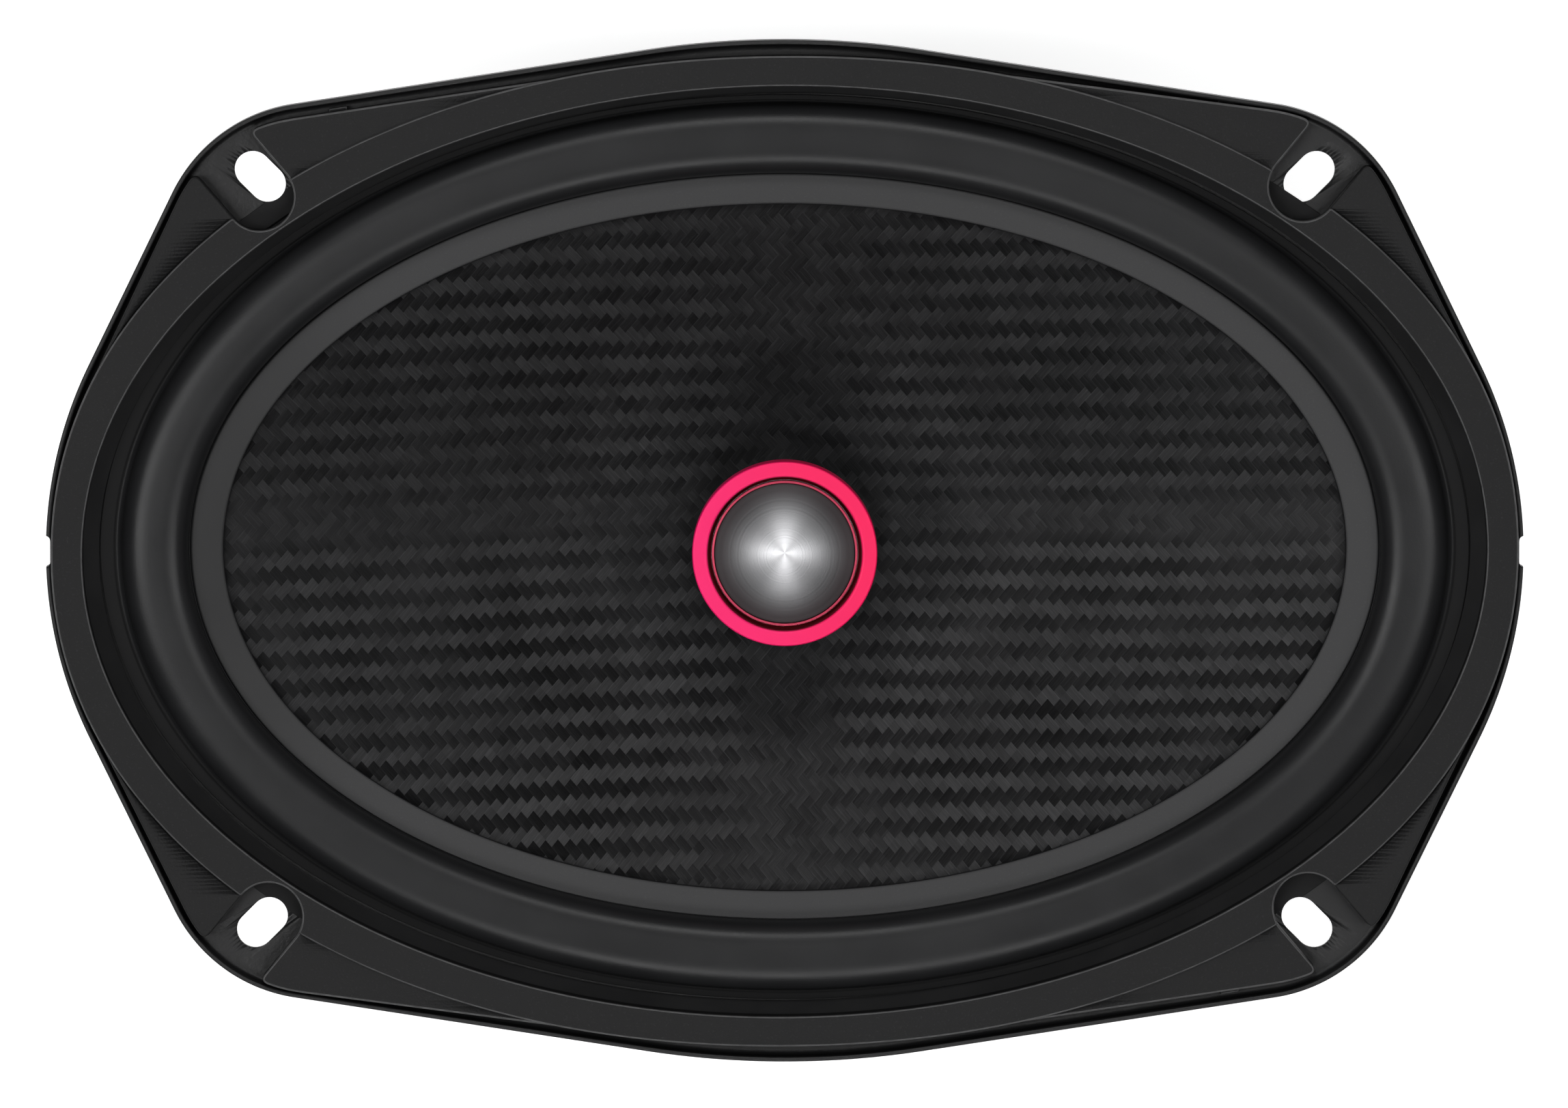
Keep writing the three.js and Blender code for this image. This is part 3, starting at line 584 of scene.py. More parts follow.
# --------------------------------------------------------------------- outline
SIDE, CORNER, TOP = (50, 0, 67.5), (74.33, 45.91, 25.5), (0, -63.6, 145)


def outline_dense():
    """Flange outline for one turn, with outward normals, in equal steps."""
    quad, nor = [], []
    for (cx, cy, r), a0, a1, n in ((SIDE, 0, 26, 120), (CORNER, 26, 81.3, 120), (TOP, 81.3, 90, 60)):
        for k in range(n + 1):
            d = math.radians(a0 + (a1 - a0) * k / n)
            quad.append((cx + r * math.cos(d), cy + r * math.sin(d)))
            nor.append((math.cos(d), math.sin(d)))
    q, m = np.array(quad), np.array(nor)
    full = [q, (q * [-1, 1])[::-1][1:], (q * [-1, -1])[1:], (q * [1, -1])[::-1][1:-1]]
    fulln = [m, (m * [-1, 1])[::-1][1:], (m * [-1, -1])[1:], (m * [1, -1])[::-1][1:-1]]
    return np.vstack(full) * [1.0, 1.0022] - [0.0, 0.12], np.vstack(fulln)


def outline_samples(T):
    p, m = outline_dense()
    pc, mc = np.vstack([p, p[:1]]), np.vstack([m, m[:1]])
    L = np.concatenate([[0], np.cumsum(np.linalg.norm(np.diff(pc, axis=0), axis=1))])
    s = np.arange(T) * L[-1] / T
    P = np.stack([np.interp(s, L, pc[:, d]) for d in (0, 1)], -1)
    N = np.stack([np.interp(s, L, mc[:, d]) for d in (0, 1)], -1)
    return P, N / np.linalg.norm(N, axis=1, keepdims=True)


RT = 960
OUT_P, OUT_N = outline_samples(RT)
PHI = np.arctan2(OUT_P[:, 1], OUT_P[:, 0])


def o_st(inset, z):
    p = OUT_P - OUT_N * inset
    return np.column_stack([p, np.full(len(p), z)])


def e_st(a, b, z):
    c, s = np.cos(PHI), np.sin(PHI)
    r = a * b / np.sqrt((b * c) ** 2 + (a * s) ** 2)
    return np.column_stack([r * c, r * s, np.full(len(PHI), z)])


QUADS = [(1, 1), (-1, 1), (-1, -1), (1, -1)]


def mirrored(pts, sx, sy):
    m = [(x * sx, y * sy) for x, y in pts]
    return m[::-1] if sx * sy < 0 else m


# ---------------------------------------------------------------------- basket
def basket():
    ring = fillet(np.array([
        e_st(104.8, 69.5, 70.9), e_st(110.6, 74.1, 70.8), e_st(113.2, 76.4, 76.0), o_st(0.0, 76.0), o_st(0.0, 80.0),
        o_st(0.76, 80.0), o_st(0.9, 77.6), e_st(112.0, 75.2, 77.6), e_st(110.2, 73.5, 72.3), e_st(104.8, 69.5, 72.3)]),
        [0.3, 1.4, 0.9, 0.7, 0.38, 0.34, 0.9, 0.6, 0.6, 0.3], 5)
    ob = make("basket", ring.reshape(-1, 3), ring_faces(len(ring), RT), MAT["basket_paint"])
    half, r = (9.1 - 5.86) / 2, 5.86 / 2
    for sx, sy in QUADS:
        pts = []
        for side, a0 in ((1, -45), (-1, 135)):
            for k in range(19):
                d = math.radians(a0 + k * 10)
                pts.append((83.3 + side * half * math.sqrt(0.5) + r * math.cos(d),
                            59.6 + side * half * math.sqrt(0.5) + r * math.sin(d)))
        cut(ob, slab("tool", mirrored(pts, sx, sy), 74, 79, MAT["basket_paint"]))
    for s in (1, -1):
        notch = round_poly([(s * 116.8, -2.5), (s * 121, -2.5), (s * 121, 2.5), (s * 116.8, 2.5)], [0.9, 0, 0, 0.9])
        cut(ob, slab("tool", notch, 74, 82, MAT["basket_paint"]))

    # pressed wall with eight arms: a coarse cage, thickened and subdivided
    offs = [-22.5, -17.5, -12, -8.6, -6.5, -4.6, -2.6, 0, 2.6, 4.6, 6.5, 8.6, 12, 17.5]
    ts, kind = [], []
    for k in range(8):
        for o in offs:
            ts.append(math.radians(22.5 + 45 * k + o))
            kind.append(o)
    T = len(ts)
    st = [(20.4, 20.4, 29.15), (22, 22, 29.15), (33, 33, 29.15), (41.5, 41.5, 29.15), (44.4, 44.4, 29.5), (46.0, 46.0, 31.6),
          (46.9, 46.9, 35.0), (47.4, 47.4, 38.2), (48.8, 48.8, 39.6), (51.5, 51.5, 39.65), (54.0, 53.7, 39.8)]
    fs = [0.045, 0.09, 0.125, 0.165, 0.22, 0.4, 0.6, 0.78, 0.85, 0.895, 0.93, 0.97]
    st += [(55 + 50.6 * f, 54.1 + 16 * f, 40.6 + 30.9 * f) for f in fs]
    st += [(106.4, 70.9, 71.5), (108.6, 72.4, 71.55)]
    first = 11
    verts, faces = [], []
    for i, (a, b, z) in enumerate(st):
        for t, o in zip(ts, kind):
            p = np.array([a * math.cos(t), b * math.sin(t), z])
            f = fs[i - first] if first <= i < first + len(fs) else None
            if f is not None and 0.2 <= f <= 0.8 and abs(o) < 3:      # pressed bead along the arm
                slope = np.array([50.6 * math.cos(t), 16 * math.sin(t), 30.9])
                tang = np.array([-a * math.sin(t), b * math.cos(t), 0])
                nrm = np.cross(tang, slope)
                p = p + nrm / np.linalg.norm(nrm) * (1.5 if o == 0 else 0.9)
            verts.append(p)
    w0, w1 = first + fs.index(0.125), first + fs.index(0.895)
    for i in range(len(st) - 1):
        for j in range(T):
            j2 = (j + 1) % T
            if w0 <= i < w1:
                o, o2 = kind[j], kind[j2]
                if not (abs(o) <= 6.5 and abs(o2) <= 6.5):
                    continue
            faces.append([i * T + j, i * T + j2, (i + 1) * T + j2, (i + 1) * T + j])
    cage = make("cage", verts, faces, MAT["basket_paint"])
    so = cage.modifiers.new("t", "SOLIDIFY")
    so.thickness = 1.5 * MM
    so.offset = 0
    so.use_even_offset = True
    so.edge_crease_inner = so.edge_crease_outer = 0.62
    sd = cage.modifiers.new("s", "SUBSURF")
    sd.levels = sd.render_levels = 2
    bake(cage)
    fix_normals(cage)
    lug = slab("lug", round_poly([(-9, -68), (9, -68), (9, -52.6), (-9, -52.6)], [2.0, 2.0, 0.4, 0.4]), 39.95, 41.5,
               MAT["basket_paint"], holes=[circle(-5.5, -64, 1.4, 24), circle(5.5, -64, 1.4, 24)], bevel=0.25)
    cut(ob, cage, "UNION")
    cut(ob, lug, "UNION")
    return weighted(ob)


def fix_normals(ob):
    bm = bmesh.new()
    bm.from_mesh(ob.data)
    bmesh.ops.recalc_face_normals(bm, faces=bm.faces)
    bm.to_mesh(ob.data)
    bm.free()


# ---------------------------------------------------------------------- gasket
GA, GB, GN = 116.6, 79.0, 2.08          # outer edge of the raised band, a super-ellipse
PX, PY, PR, PAX = 82.75, 57.46, 5.45, math.radians(50)     # U pocket: centre of its round end
TURN = 0.0092                           # the moulding sits a touch anticlockwise in its basket
UX, UY = math.cos(PAX), math.sin(PAX)


def band_at(t, off=0.0):
    c, s = math.cos(t), math.sin(t)
    r = ((abs(c) / (GA - off)) ** GN + (abs(s) / (GB - off)) ** GN) ** (-1 / GN)
    return np.array([r * c, r * s])


def band_f(p, off=0.0):
    return (abs(p[0]) / (GA - off)) ** GN + (abs(p[1]) / (GB - off)) ** GN - 1


def pad_inset():
    ang = np.degrees(np.arctan2(np.abs(OUT_N[:, 1]), np.abs(OUT_N[:, 0])))
    ins = np.where(ang > 81.2, 2.45 - 0.0125 * np.abs(OUT_P[:, 0]), np.interp(ang, [0, 26, 81.3], [2.6, 1.4, 1.5]))
    return OUT_P - OUT_N * ins[:, None]


def u_path(step=0.25, reach=18.0, grow=0.0):
    """Edge of the U in the (+,+) quadrant: in along the lower side, round the end, out along the upper one."""
    r = PR + grow
    lo = [(PX + r * UY + t * UX, PY - r * UX + t * UY) for t in np.arange(reach, 0, -step)]
    arc = [(PX + r * math.cos(PAX - math.pi / 2 - a), PY + r * math.sin(PAX - math.pi / 2 - a)) for a in np.linspace(0, math.pi, 72)]
    up = [(PX - r * UY + t * UX, PY + r * UX + t * UY) for t in np.arange(step, reach, step)]
    return np.array(lo + arc + up)


def between(a, b, f):
    for _ in range(30):
        m = (a + b) / 2
        if f(a) * f(m) <= 0:
            b = m
        else:
            a = m
    return (a + b) / 2


def soften(poly, k, reach, n=7):
    """Round the corner at index k of a dense closed polyline."""
    P = np.asarray(poly, float)
    N, p = len(P), np.asarray(poly[k], float)

    def walk(step):
        i = k
        while True:
            j = (i + step) % N
            if np.linalg.norm(P[j] - p) >= reach:
                da, db = np.linalg.norm(P[i] - p), np.linalg.norm(P[j] - p)
                return j, P[i] + (P[j] - P[i]) * (reach - da) / (db - da)
            i = j

    j0, s0 = walk(-1)
    j1, s1 = walk(1)
    bend = [(1 - t) ** 2 * s0 + 2 * t * (1 - t) * p + t * t * s1 for t in np.linspace(0, 1, n)]
    rest, i = [], j1
    while True:
        rest.append(P[i])
        if i == j0:
            break
        i = (i + 1) % N
    return np.array(bend + rest)


def band_loop():
    """Outer edge of the band with its four U notches, anticlockwise."""
    u = u_path()
    ins = np.array([band_f(p) < 0 for p in u])
    a, b = np.flatnonzero(ins)[[0, -1]]
    A, B = between(u[a - 1], u[a], band_f), between(u[b], u[b + 1], band_f)
    ta, tb = math.atan2(A[1], A[0]), math.atan2(B[1], B[0])
    quad = [band_at(t) for t in np.linspace(0, ta, 150)[:-1]]
    k0 = len(quad)
    quad += [A, *u[a:b + 1], B]
    k1 = len(quad) - 1
    quad += [band_at(t) for t in np.linspace(tb, math.pi / 2, 170)[1:]]
    quad = np.array(quad)
    full = [quad, (quad * [-1, 1])[::-1][1:], (quad * [-1, -1])[1:], (quad * [1, -1])[::-1][1:-1]]
    n = len(quad)
    loop = np.vstack(full)
    marks = [A, B, A * [-1, 1], B * [-1, 1], A * [-1, -1], B * [-1, -1], A * [1, -1], B * [1, -1]]
    for m in marks:
        k = int(np.argmin(np.linalg.norm(loop - m, axis=1)))
        loop = soften(loop, k, 0.45, 5)
    return loop.tolist()


def pad_loops():
    """The top pad and the side pad of the (+,+) quadrant."""
    edge = pad_inset()
    q = edge[(OUT_P[:, 0] > -1e-6) & (OUT_P[:, 1] > -1e-6)]
    q = q[np.argsort(np.arctan2(q[:, 1], q[:, 0]))]
    u = u_path()
    half = len(u) // 2

    def meet(path, poly):
        """First crossing of path (from inside) with the open polyline."""
        for i in range(len(path) - 1):
            a, b = path[i], path[i + 1]
            for k in range(len(poly) - 1):
                c, d = poly[k], poly[k + 1]
                r, s_ = b - a, d - c
                den = r[0] * s_[1] - r[1] * s_[0]
                if abs(den) < 1e-12:
                    continue
                t = ((c[0] - a[0]) * s_[1] - (c[1] - a[1]) * s_[0]) / den
                w = ((c[0] - a[0]) * r[1] - (c[1] - a[1]) * r[0]) / den
                if 0 <= t <= 1 and 0 <= w <= 1:
                    return i, k, a + r * t
        raise RuntimeError("pad edge not met")

    off = 0.35
    out = []
    for side in ("top", "side"):
        path = u[half:] if side == "top" else u[:half][::-1]
        inside = np.array([band_f(p, off) < 0 for p in path])
        i0 = int(np.flatnonzero(inside)[-1])
        B = between(path[i0], path[i0 + 1], lambda p: band_f(p, off))
        i, k, tip = meet(path, q)
        rim = q[k + 1:] if side == "top" else q[:k + 1][::-1]
        over = np.array([band_f(p, 0.06) > 0 for p in rim])
        stop = int(np.flatnonzero(~over)[0])
        E = between(rim[stop - 1], rim[stop], lambda p: band_f(p, 0.06))
        tB, tE = math.atan2(B[1], B[0]), math.atan2(E[1], E[0])
        inner = [band_at(t, off) for t in np.linspace(tE, tB, 90)[:-1]]
        loop = [B, *path[i0 + 1:i + 1], tip, *rim[:stop], E, *inner]
        kt = 1 + (i - i0)
        loop = soften(np.array(loop), kt, 1.5, 9)
        if side == "top":
            loop = loop
        area = sum(loop[m][0] * loop[(m + 1) % len(loop)][1] - loop[(m + 1) % len(loop)][0] * loop[m][1] for m in range(len(loop)))
        out.append(loop if area > 0 else loop[::-1])
    return out


def edged(ob, index, zmin=78.3):
    """Second material on the rounded edges: a glossier copy of the gasket plastic whose lighter colour is a painted
    highlight.
    """
    for f in ob.data.polygons:
        if 0.12 < f.normal.z < 0.985 and f.center.z > zmin * MM:
            f.material_index = index


def gasket():
    mats = [MAT["gasket_plastic"], MAT["gasket_edge_painted_highlight"], MAT["gasket_skirt_painted_light"]]
    inner = [(111.6 * math.cos(t), 74.2 * math.sin(t)) for t in angles(720)]
    ob = slab("trim_gasket", band_loop(), 77.98, 82.0, mats[0], holes=[inner[::-1]], bevel=0.26, res=2)
    fix_normals(ob)
    for loop in pad_loops():
        for sx, sy in QUADS:
            pad = slab("pad", mirrored(loop.tolist(), sx, sy), 77.66, 81.42, mats[0], bevel=0.3, res=2)
            fix_normals(pad)
            cut(ob, pad, "UNION")
    # small moulding tabs between pad and lip
    for x0, x1, sx, sy in ((68.8, 71.6, -1, 1), (68.9, 71.7, 1, -1), (69.4, 71.8, 1, 1)):
        tab = slab("tool", mirrored([(x0, 68.4), (x1, 68.0), (x1, 71.1), (x0, 71.5)], sx, sy), 77.7, 79.4, mats[0], bevel=0.12)
        fix_normals(tab)
        cut(ob, tab, "UNION")
    # skirt that reaches down inside the basket's dished wall
    tail = oval("skirt", [(109.25, 72.55, 73.3), (110.15, 73.45, 73.3), (111.85, 75.0, 77.76), (112.7, 75.3, 77.9), (112.7, 75.3, 79.6),
                          (111.8, 74.4, 79.6), (111.8, 74.4, 77.9)], mats[0], 720, [0.15, 0.15, 0.1, 0, 0, 0, 0.3], 3)
    fix_normals(tail)
    cut(ob, tail, "UNION")
    ob.data.materials.clear()
    for m in mats:
        ob.data.materials.append(m)
    edged(ob, 1)
    # the skirt's faces take the painted-light copy of the gasket plastic
    for f in ob.data.polygons:
        if f.center.z < 0.07797 and math.hypot(f.center.x / 0.1122, f.center.y / 0.0749) < 1:
            f.material_index = 2
    ob.data.transform(Matrix.Rotation(TURN, 4, "Z"))
    return weighted(ob)


def rim_layer():
    """Edge of the surround's flange, seen on the pocket floors under the band."""
    st = fillet(oval_stations([(112.3, 75.5, 77.66), (116.1, 78.8, 77.66), (116.1, 78.8, 77.94), (112.3, 75.5, 77.94)], 720), [0, 0.08, 0.1, 0], 2)
    ob = make("surround_rim", st.reshape(-1, 3), ring_faces(len(st), 720), MAT["surround_flange"])
    fix_normals(ob)
    half, r = (9.1 - 5.86) / 2, 5.86 / 2 + 0.05
    for sx, sy in ((-1, 1), (-1, -1), (1, -1)):
        pts = []
        for side, a0 in ((1, -45), (-1, 135)):
            for k in range(19):
                d = math.radians(a0 + k * 10)
                pts.append((83.3 + side * half * math.sqrt(0.5) + r * math.cos(d),
                            59.6 + side * half * math.sqrt(0.5) + r * math.sin(d)))
        cut(ob, slab("tool", mirrored(pts, sx, sy), 77.0, 79, MAT["surround_flange"]))
    # the fourth one keeps a straight edge across the end of its slot
    a, b = np.array([79.2, 58.1]), np.array([82.5, 55.9])
    d = (b - a) / np.linalg.norm(b - a)
    nrm = np.array([-d[1], d[0]])
    a, b = a - d * 2.2, b + d * 2.2
    far = [a, b, b + nrm * 9, a + nrm * 9]
    slotp = [p for p in mirrored(pts, 1, -1)]
    cut(ob, slab("tool", [tuple(p) for p in far], 77.0, 79, MAT["surround_flange"]))
    return weighted(ob)


def smooth01(x):
    x = np.clip(x, 0, 1)
    return x * x * (3 - 2 * x)


ROLL_N = 3.1          # fullness of the half-roll: 2 is a plain ellipse


def roll_curve(t):
    c, s = math.cos(t), math.sin(t)
    return math.copysign(abs(c) ** (2 / ROLL_N), c), abs(s) ** (2 / ROLL_N)


def surround():
    T = 480
    A, B, W, WY, H = 100.3, 65.35, 5.4, 5.6, 5.2
    prof, cuts = [], []

    def add(a, b, z, c=0.0):
        prof.append((a, b, z))
        cuts.append(c)

    add(89.45, 54.95, 72.62, 0.1)
    add(93.6, 58.7, 72.62, 0.5)
    for k in range(25):
        u, v = roll_curve(math.pi - math.pi * k / 24)
        add(A + (W - 0.7) * u, B + (WY - 0.7) * u, 72.65 + (H - 0.75) * v)
    add(106.6, 70.9, 72.5)
    add(109.12, 72.42, 72.4, 0.1)
    add(109.12, 72.42, 73.2, 0.15)
    add(107.0, 71.55, 73.2, 0.3)
    add(106.7, 71.25, 73.0, 0.3)
    for k in range(49):
        u, v = roll_curve(math.pi * k / 48)
        add(A + W * u, B + WY * u, 73.3 + H * v)
    add(94.75, 59.68, 73.5, 0.2)
    add(94.45, 59.52, 73.82, 0.2)
    add(89.75, 55.25, 73.3, 0.2)
    add(89.45, 54.95, 73.05, 0.15)
    st = fillet(oval_stations(prof, T), cuts, 3)
    st[:, :, 1] += 0.2 * (np.clip((st[:, 0, 0] - 94) / 0.75, 0, 1) * smooth01((108 - st[:, 0, 0]) / 2))[:, None]
    ob = make("surround_rubber", st.reshape(-1, 3), ring_faces(len(st), T), [MAT["surround_rubber"], MAT["surround_land"], MAT["surround_flange"]])
    a = st[:, 0, 0]
    z = st[:, 0, 2]
    for i in range(len(st)):
        i2 = (i + 1) % len(st)
        if max(a[i], a[i2]) < 94.6 and min(z[i], z[i2]) > 73.1:
            for j in range(T):
                ob.data.polygons[i * T + j].material_index = 1
        if min(a[i], a[i2]) > 105.9 and min(z[i], z[i2]) > 72.9:
            for j in range(T):
                ob.data.polygons[i * T + j].material_index = 2
    return ob, smooth01((105.6 - np.repeat(a, T)) / (105.6 - 95.3))


def cone_z(s):
    return 47.2 + 24.8 * (1.12 * s - 0.12 * s * s)


def cone():
    prof, cuts = [(13.2, 13.2, 45.0), (14.0, 14.0, 45.3)], [0.1, 0.3]
    S = np.linspace(0, 1, 49)
    for s in S[1:-1]:
        prof.append((13.2 + 76.0 * s, 13.2 + 41.5 * s, cone_z(s) - 0.95))
        cuts.append(0)
    prof += [(90.2, 55.6, 71.4), (93.4, 58.5, 71.5), (93.4, 58.5, 72.5), (89.7, 55.2, 72.5)]
    cuts += [0.4, 0.2, 0.2, 0.3]
    for s in S[::-1]:
        zt = cone_z(s)
        prof.append((13.2 + 76.0 * s, 13.2 + 41.5 * s, (zt + 48.6 + math.hypot(zt - 48.6, 0.35)) / 2))
        cuts.append(0)
    prof += [(11.5, 11.5, 48.72), (9.5, 9.5, 48.72), (9.5, 9.5, 48.05), (13.2, 13.2, 48.05)]
    cuts += [0, 0.2, 0.2, 0.3]
    return oval("woven_cone", prof, MAT["woven_cone"], 480, cuts, 3)


def spider():
    T = 192
    prof, cuts = [(13.2, 41.0), (15.2, 41.0)], [0.1, 0.3]
    R = np.linspace(16.2, 45.4, 97)
    wave = [41.3 + 1.15 * math.sin(TAU * 5.5 * (r - 16.2) / 29.2) for r in R]
    lo = [(r, w - 0.22) for r, w in zip(R, wave)]
    hi = [(r, w + 0.22) for r, w in zip(R, wave)]
    prof += lo + [(46.6, 40.45), (51.8, 40.45), (51.8, 41.0), (46.8, 41.0)] + hi[::-1] + [(15.3, 41.7), (14.1, 43.1), (13.2, 43.1)]
    cuts += [0] * 97 + [0.4, 0.1, 0.1, 0.4] + [0] * 97 + [0.4, 0.3, 0.1]
    st = fillet(oval_stations([(r, r, z) for r, z in prof], T), cuts, 3)
    ob = make("spider_cloth", st.reshape(-1, 3), ring_faces(len(st), T), MAT["spider_cloth"])
    return ob, smooth01((45.6 - np.repeat(st[:, 0, 0], T)) / (45.6 - 16.0))


# ------------------------------------------------------------------ assembling
def place(ob, body, *nodes, slot=None):
    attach(ob, body)
    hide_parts(*nodes)
    return ob


def blended(ob, w, child, ends, *nodes, slot):
    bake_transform(ob)
    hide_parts(*nodes)


CH, CO, TW = "chassis", "cone_assembly", "tweeter_diaphragm"

place(basket(), CH, "basket", slot="basket_paint")
place(gasket(), CH, "trim_gasket", slot="gasket_plastic")
place(rim_layer(), CH, "trim_gasket", slot="surround_rubber")
so, w = surround()
blended(so, w, CO, ((0.1056, 0, 0.073), (0.0949, 0, 0.073)), "surround", slot="surround_rubber")
place(cone(), CO, "cone", slot="woven_cone")
sp, w = spider()
blended(sp, w, CO, ((0.0456, 0, 0.041), (0.016, 0, 0.041)), "spider", slot="spider_cloth")
place(weighted(lathe("coil_former", [(12.75, 20.2), (13.05, 20.2), (13.05, 47.6), (12.75, 47.6)], MAT["former_film"], 96, 0.05)), CO,
      "voice_coil_former", slot="former_film")

# coil windings: real turns, one ring groove for each
def winding(name, r0, r1, z0, z1, pitch, material, T=96):
    n = int(round((z1 - z0) / pitch))
    prof = [(r0, z0)]
    for k in range(n):
        for t in (0.0, 0.25, 0.5, 0.75):
            zz = z0 + (k + t) * (z1 - z0) / n
            prof.append((r1 - (0.10 if t == 0 else 0.02 if t != 0.5 else 0.0), zz))
    prof += [(r1 - 0.1, z1), (r0, z1)]
    return lathe(name, prof, material, T, 0)


place(winding("coil_winding", 13.12, 13.8, 20.8, 29.6, 0.4, MAT["copper"]), CO, "voice_coil_winding", slot="copper")

# motor
yoke = lathe("yoke_plate", [(8.2, 0), (45.1, 0), (46, 0.9), (46, 6.3), (45.3, 7.0), (13.4, 7.0), (12.3, 8.2), (12.3, 28.6), (11.7, 29.2),
                            (4.8, 29.2), (4.8, 9.0), (8.2, 9.0)], MAT["black_steel"], 160, [0.3, 0.4, 0.4, 0.4, 0.4, 0.8, 0.8, 0.3, 0.3, 0.3, 0.2, 0.2])
ch = slab("tool", round_poly([(-2.6, -48), (2.6, -48), (2.6, -6.6), (-2.6, -6.6)], 0), -1, 3.2, MAT["black_steel"])
fix_normals(ch)
place(weighted(cut(yoke, ch)), CH, "yoke", slot="black_steel")
place(weighted(lathe("magnet_ring_fine", [(20, 7.1), (44.2, 7.1), (45, 7.9), (45, 21.3), (44.2, 22.1), (20, 22.1)], MAT["ferrite"], 160, 0.35)), CH,
      "magnet_ring", slot="ferrite")
place(weighted(lathe("front_plate_fine", [(14.4, 22.2), (41.4, 22.2), (42, 22.8), (42, 27.6), (41.4, 28.2), (14.4, 28.2)], MAT["zinc_steel"], 160, 0.3)), CH,
      "front_plate", slot="zinc_steel")
for i, d in enumerate((45, 135, 225, 315)):
    c, s = 33 * math.cos(math.radians(d)), 33 * math.sin(math.radians(d))
    place(weighted(lathe(f"basket_rivet_head_{i + 1}", [(0, 22.8), (1.55, 22.8), (1.55, 30.1), (3.2, 30.1), (3.2, 30.8), (2.2, 31.8), (0, 31.9)],
                         MAT["rivet_steel"], 40, 0.5, at=(c, s, 0))), CH, f"basket_rivet_{i + 1}", slot="rivet_steel")

# tweeter
place(weighted(lathe("post", [(2.6, 3.9), (4.5, 3.9), (4.5, 29.3), (9, 29.3), (9, 31), (6.6, 34.5), (6.0, 69.4), (5.0, 69.4), (5.0, 71.6), (2.6, 71.6)],
                     MAT["black_plastic"], 72, [0.2, 0.3, 0.2, 0.3, 0.6, 1.5, 0.3, 0.2, 0.3, 0.2])), CH, "tweeter_post", slot="post_plastic")
hexa = [(7.3 * math.cos(math.radians(60 * i)), 7.3 * math.sin(math.radians(60 * i))) for i in range(6)]
nut = slab("post_nut", round_poly(hexa, 0.5, 3), 4.8, 7.95, MAT["rivet_steel"], holes=[circle(0, 0, 4.85, 48)], bevel=0.35)
place(weighted(nut), CH, "tweeter_post_nut", slot="rivet_steel")
place(weighted(lathe("post_washer", [(4.85, 8.05), (7.7, 8.05), (7.7, 8.9), (4.85, 8.9)], MAT["rivet_steel"], 64, 0.2)), CH, "tweeter_post_washer", slot="rivet_steel")
place(weighted(lathe("tweeter_cup", [(5.35, 69.5), (9.5, 69.5), (13.0, 72.6), (13.9, 79.3), (13.9, 81.2), (13.0, 81.2), (13.0, 71.9), (5.35, 71.9)],
                     MAT["black_plastic"], 120, [0.3, 1.2, 1.5, 0.5, 0.3, 0.3, 0.3, 0.3])), CH, "tweeter_housing", slot="post_plastic")
place(weighted(lathe("tweeter_yoke_cup", [(0, 72.3), (12.7, 72.3), (12.7, 81.1), (11.3, 81.1), (11.3, 73.9), (0, 73.9)], MAT["tweeter_steel"], 96, 0.3)), CH,
      "tweeter_yoke", slot="tweeter_steel")
place(weighted(lathe("tweeter_disc_magnet", [(0, 74.0), (9.3, 74.0), (9.3, 77.6), (0, 77.6)], MAT["neodymium"], 96, 0.4)), CH, "tweeter_magnet", slot="neodymium")
place(weighted(lathe("tweeter_pole_disc", [(0, 77.7), (10.0, 77.7), (10.0, 80.2), (0, 80.2)], MAT["tweeter_steel"], 96, 0.3)), CH, "tweeter_pole_plate", slot="tweeter_steel")
place(winding("tweeter_coil", 10.4, 10.85, 77.3, 82.5, 0.26, MAT["copper"]), TW, "tweeter_voice_coil", slot="copper")


def tweeter_suspension():
    prof = [(11.72, 82.25), (12.0, 81.75), (12.5, 81.4), (13.3, 81.3), (13.3, 82.5), (12.6, 82.5), (12.2, 82.15), (11.95, 82.25), (11.72, 82.55)]
    st = fillet(oval_stations([(r, r, z) for r, z in prof], 120), 0.2, 3)
    ob = make("tweeter_edge", st.reshape(-1, 3), ring_faces(len(st), 120), MAT["suspension_rubber"])
    return ob, smooth01((12.5 - np.repeat(st[:, 0, 0], 120)) / 0.75)


ts, w = tweeter_suspension()
blended(ts, w, TW, ((0.0125, 0, 0.082), (0.0117, 0, 0.082)), "tweeter_suspension", slot="suspension_rubber")


def dome():
    R, H, Z = 11.1, 5.3, 82.9
    rad = (R * R + H * H) / (2 * H)
    zc = Z + H - rad
    ru = np.linspace(0, 10.6, 22)
    rt = np.linspace(0, R, 60)
    prof = [(r, zc + math.sqrt((rad - 0.3) ** 2 - r * r)) for r in ru[:-1]] + [(10.6, 82.6), (R, 82.6)]
    prof += [(r, zc + math.sqrt(rad * rad - r * r)) for r in rt[::-1]]
    return lathe("tweeter_dome_shell", prof, MAT["dome_metal"], 180, [0] * 21 + [0.15, 0.15, 0.1] + [0] * 59, 3)


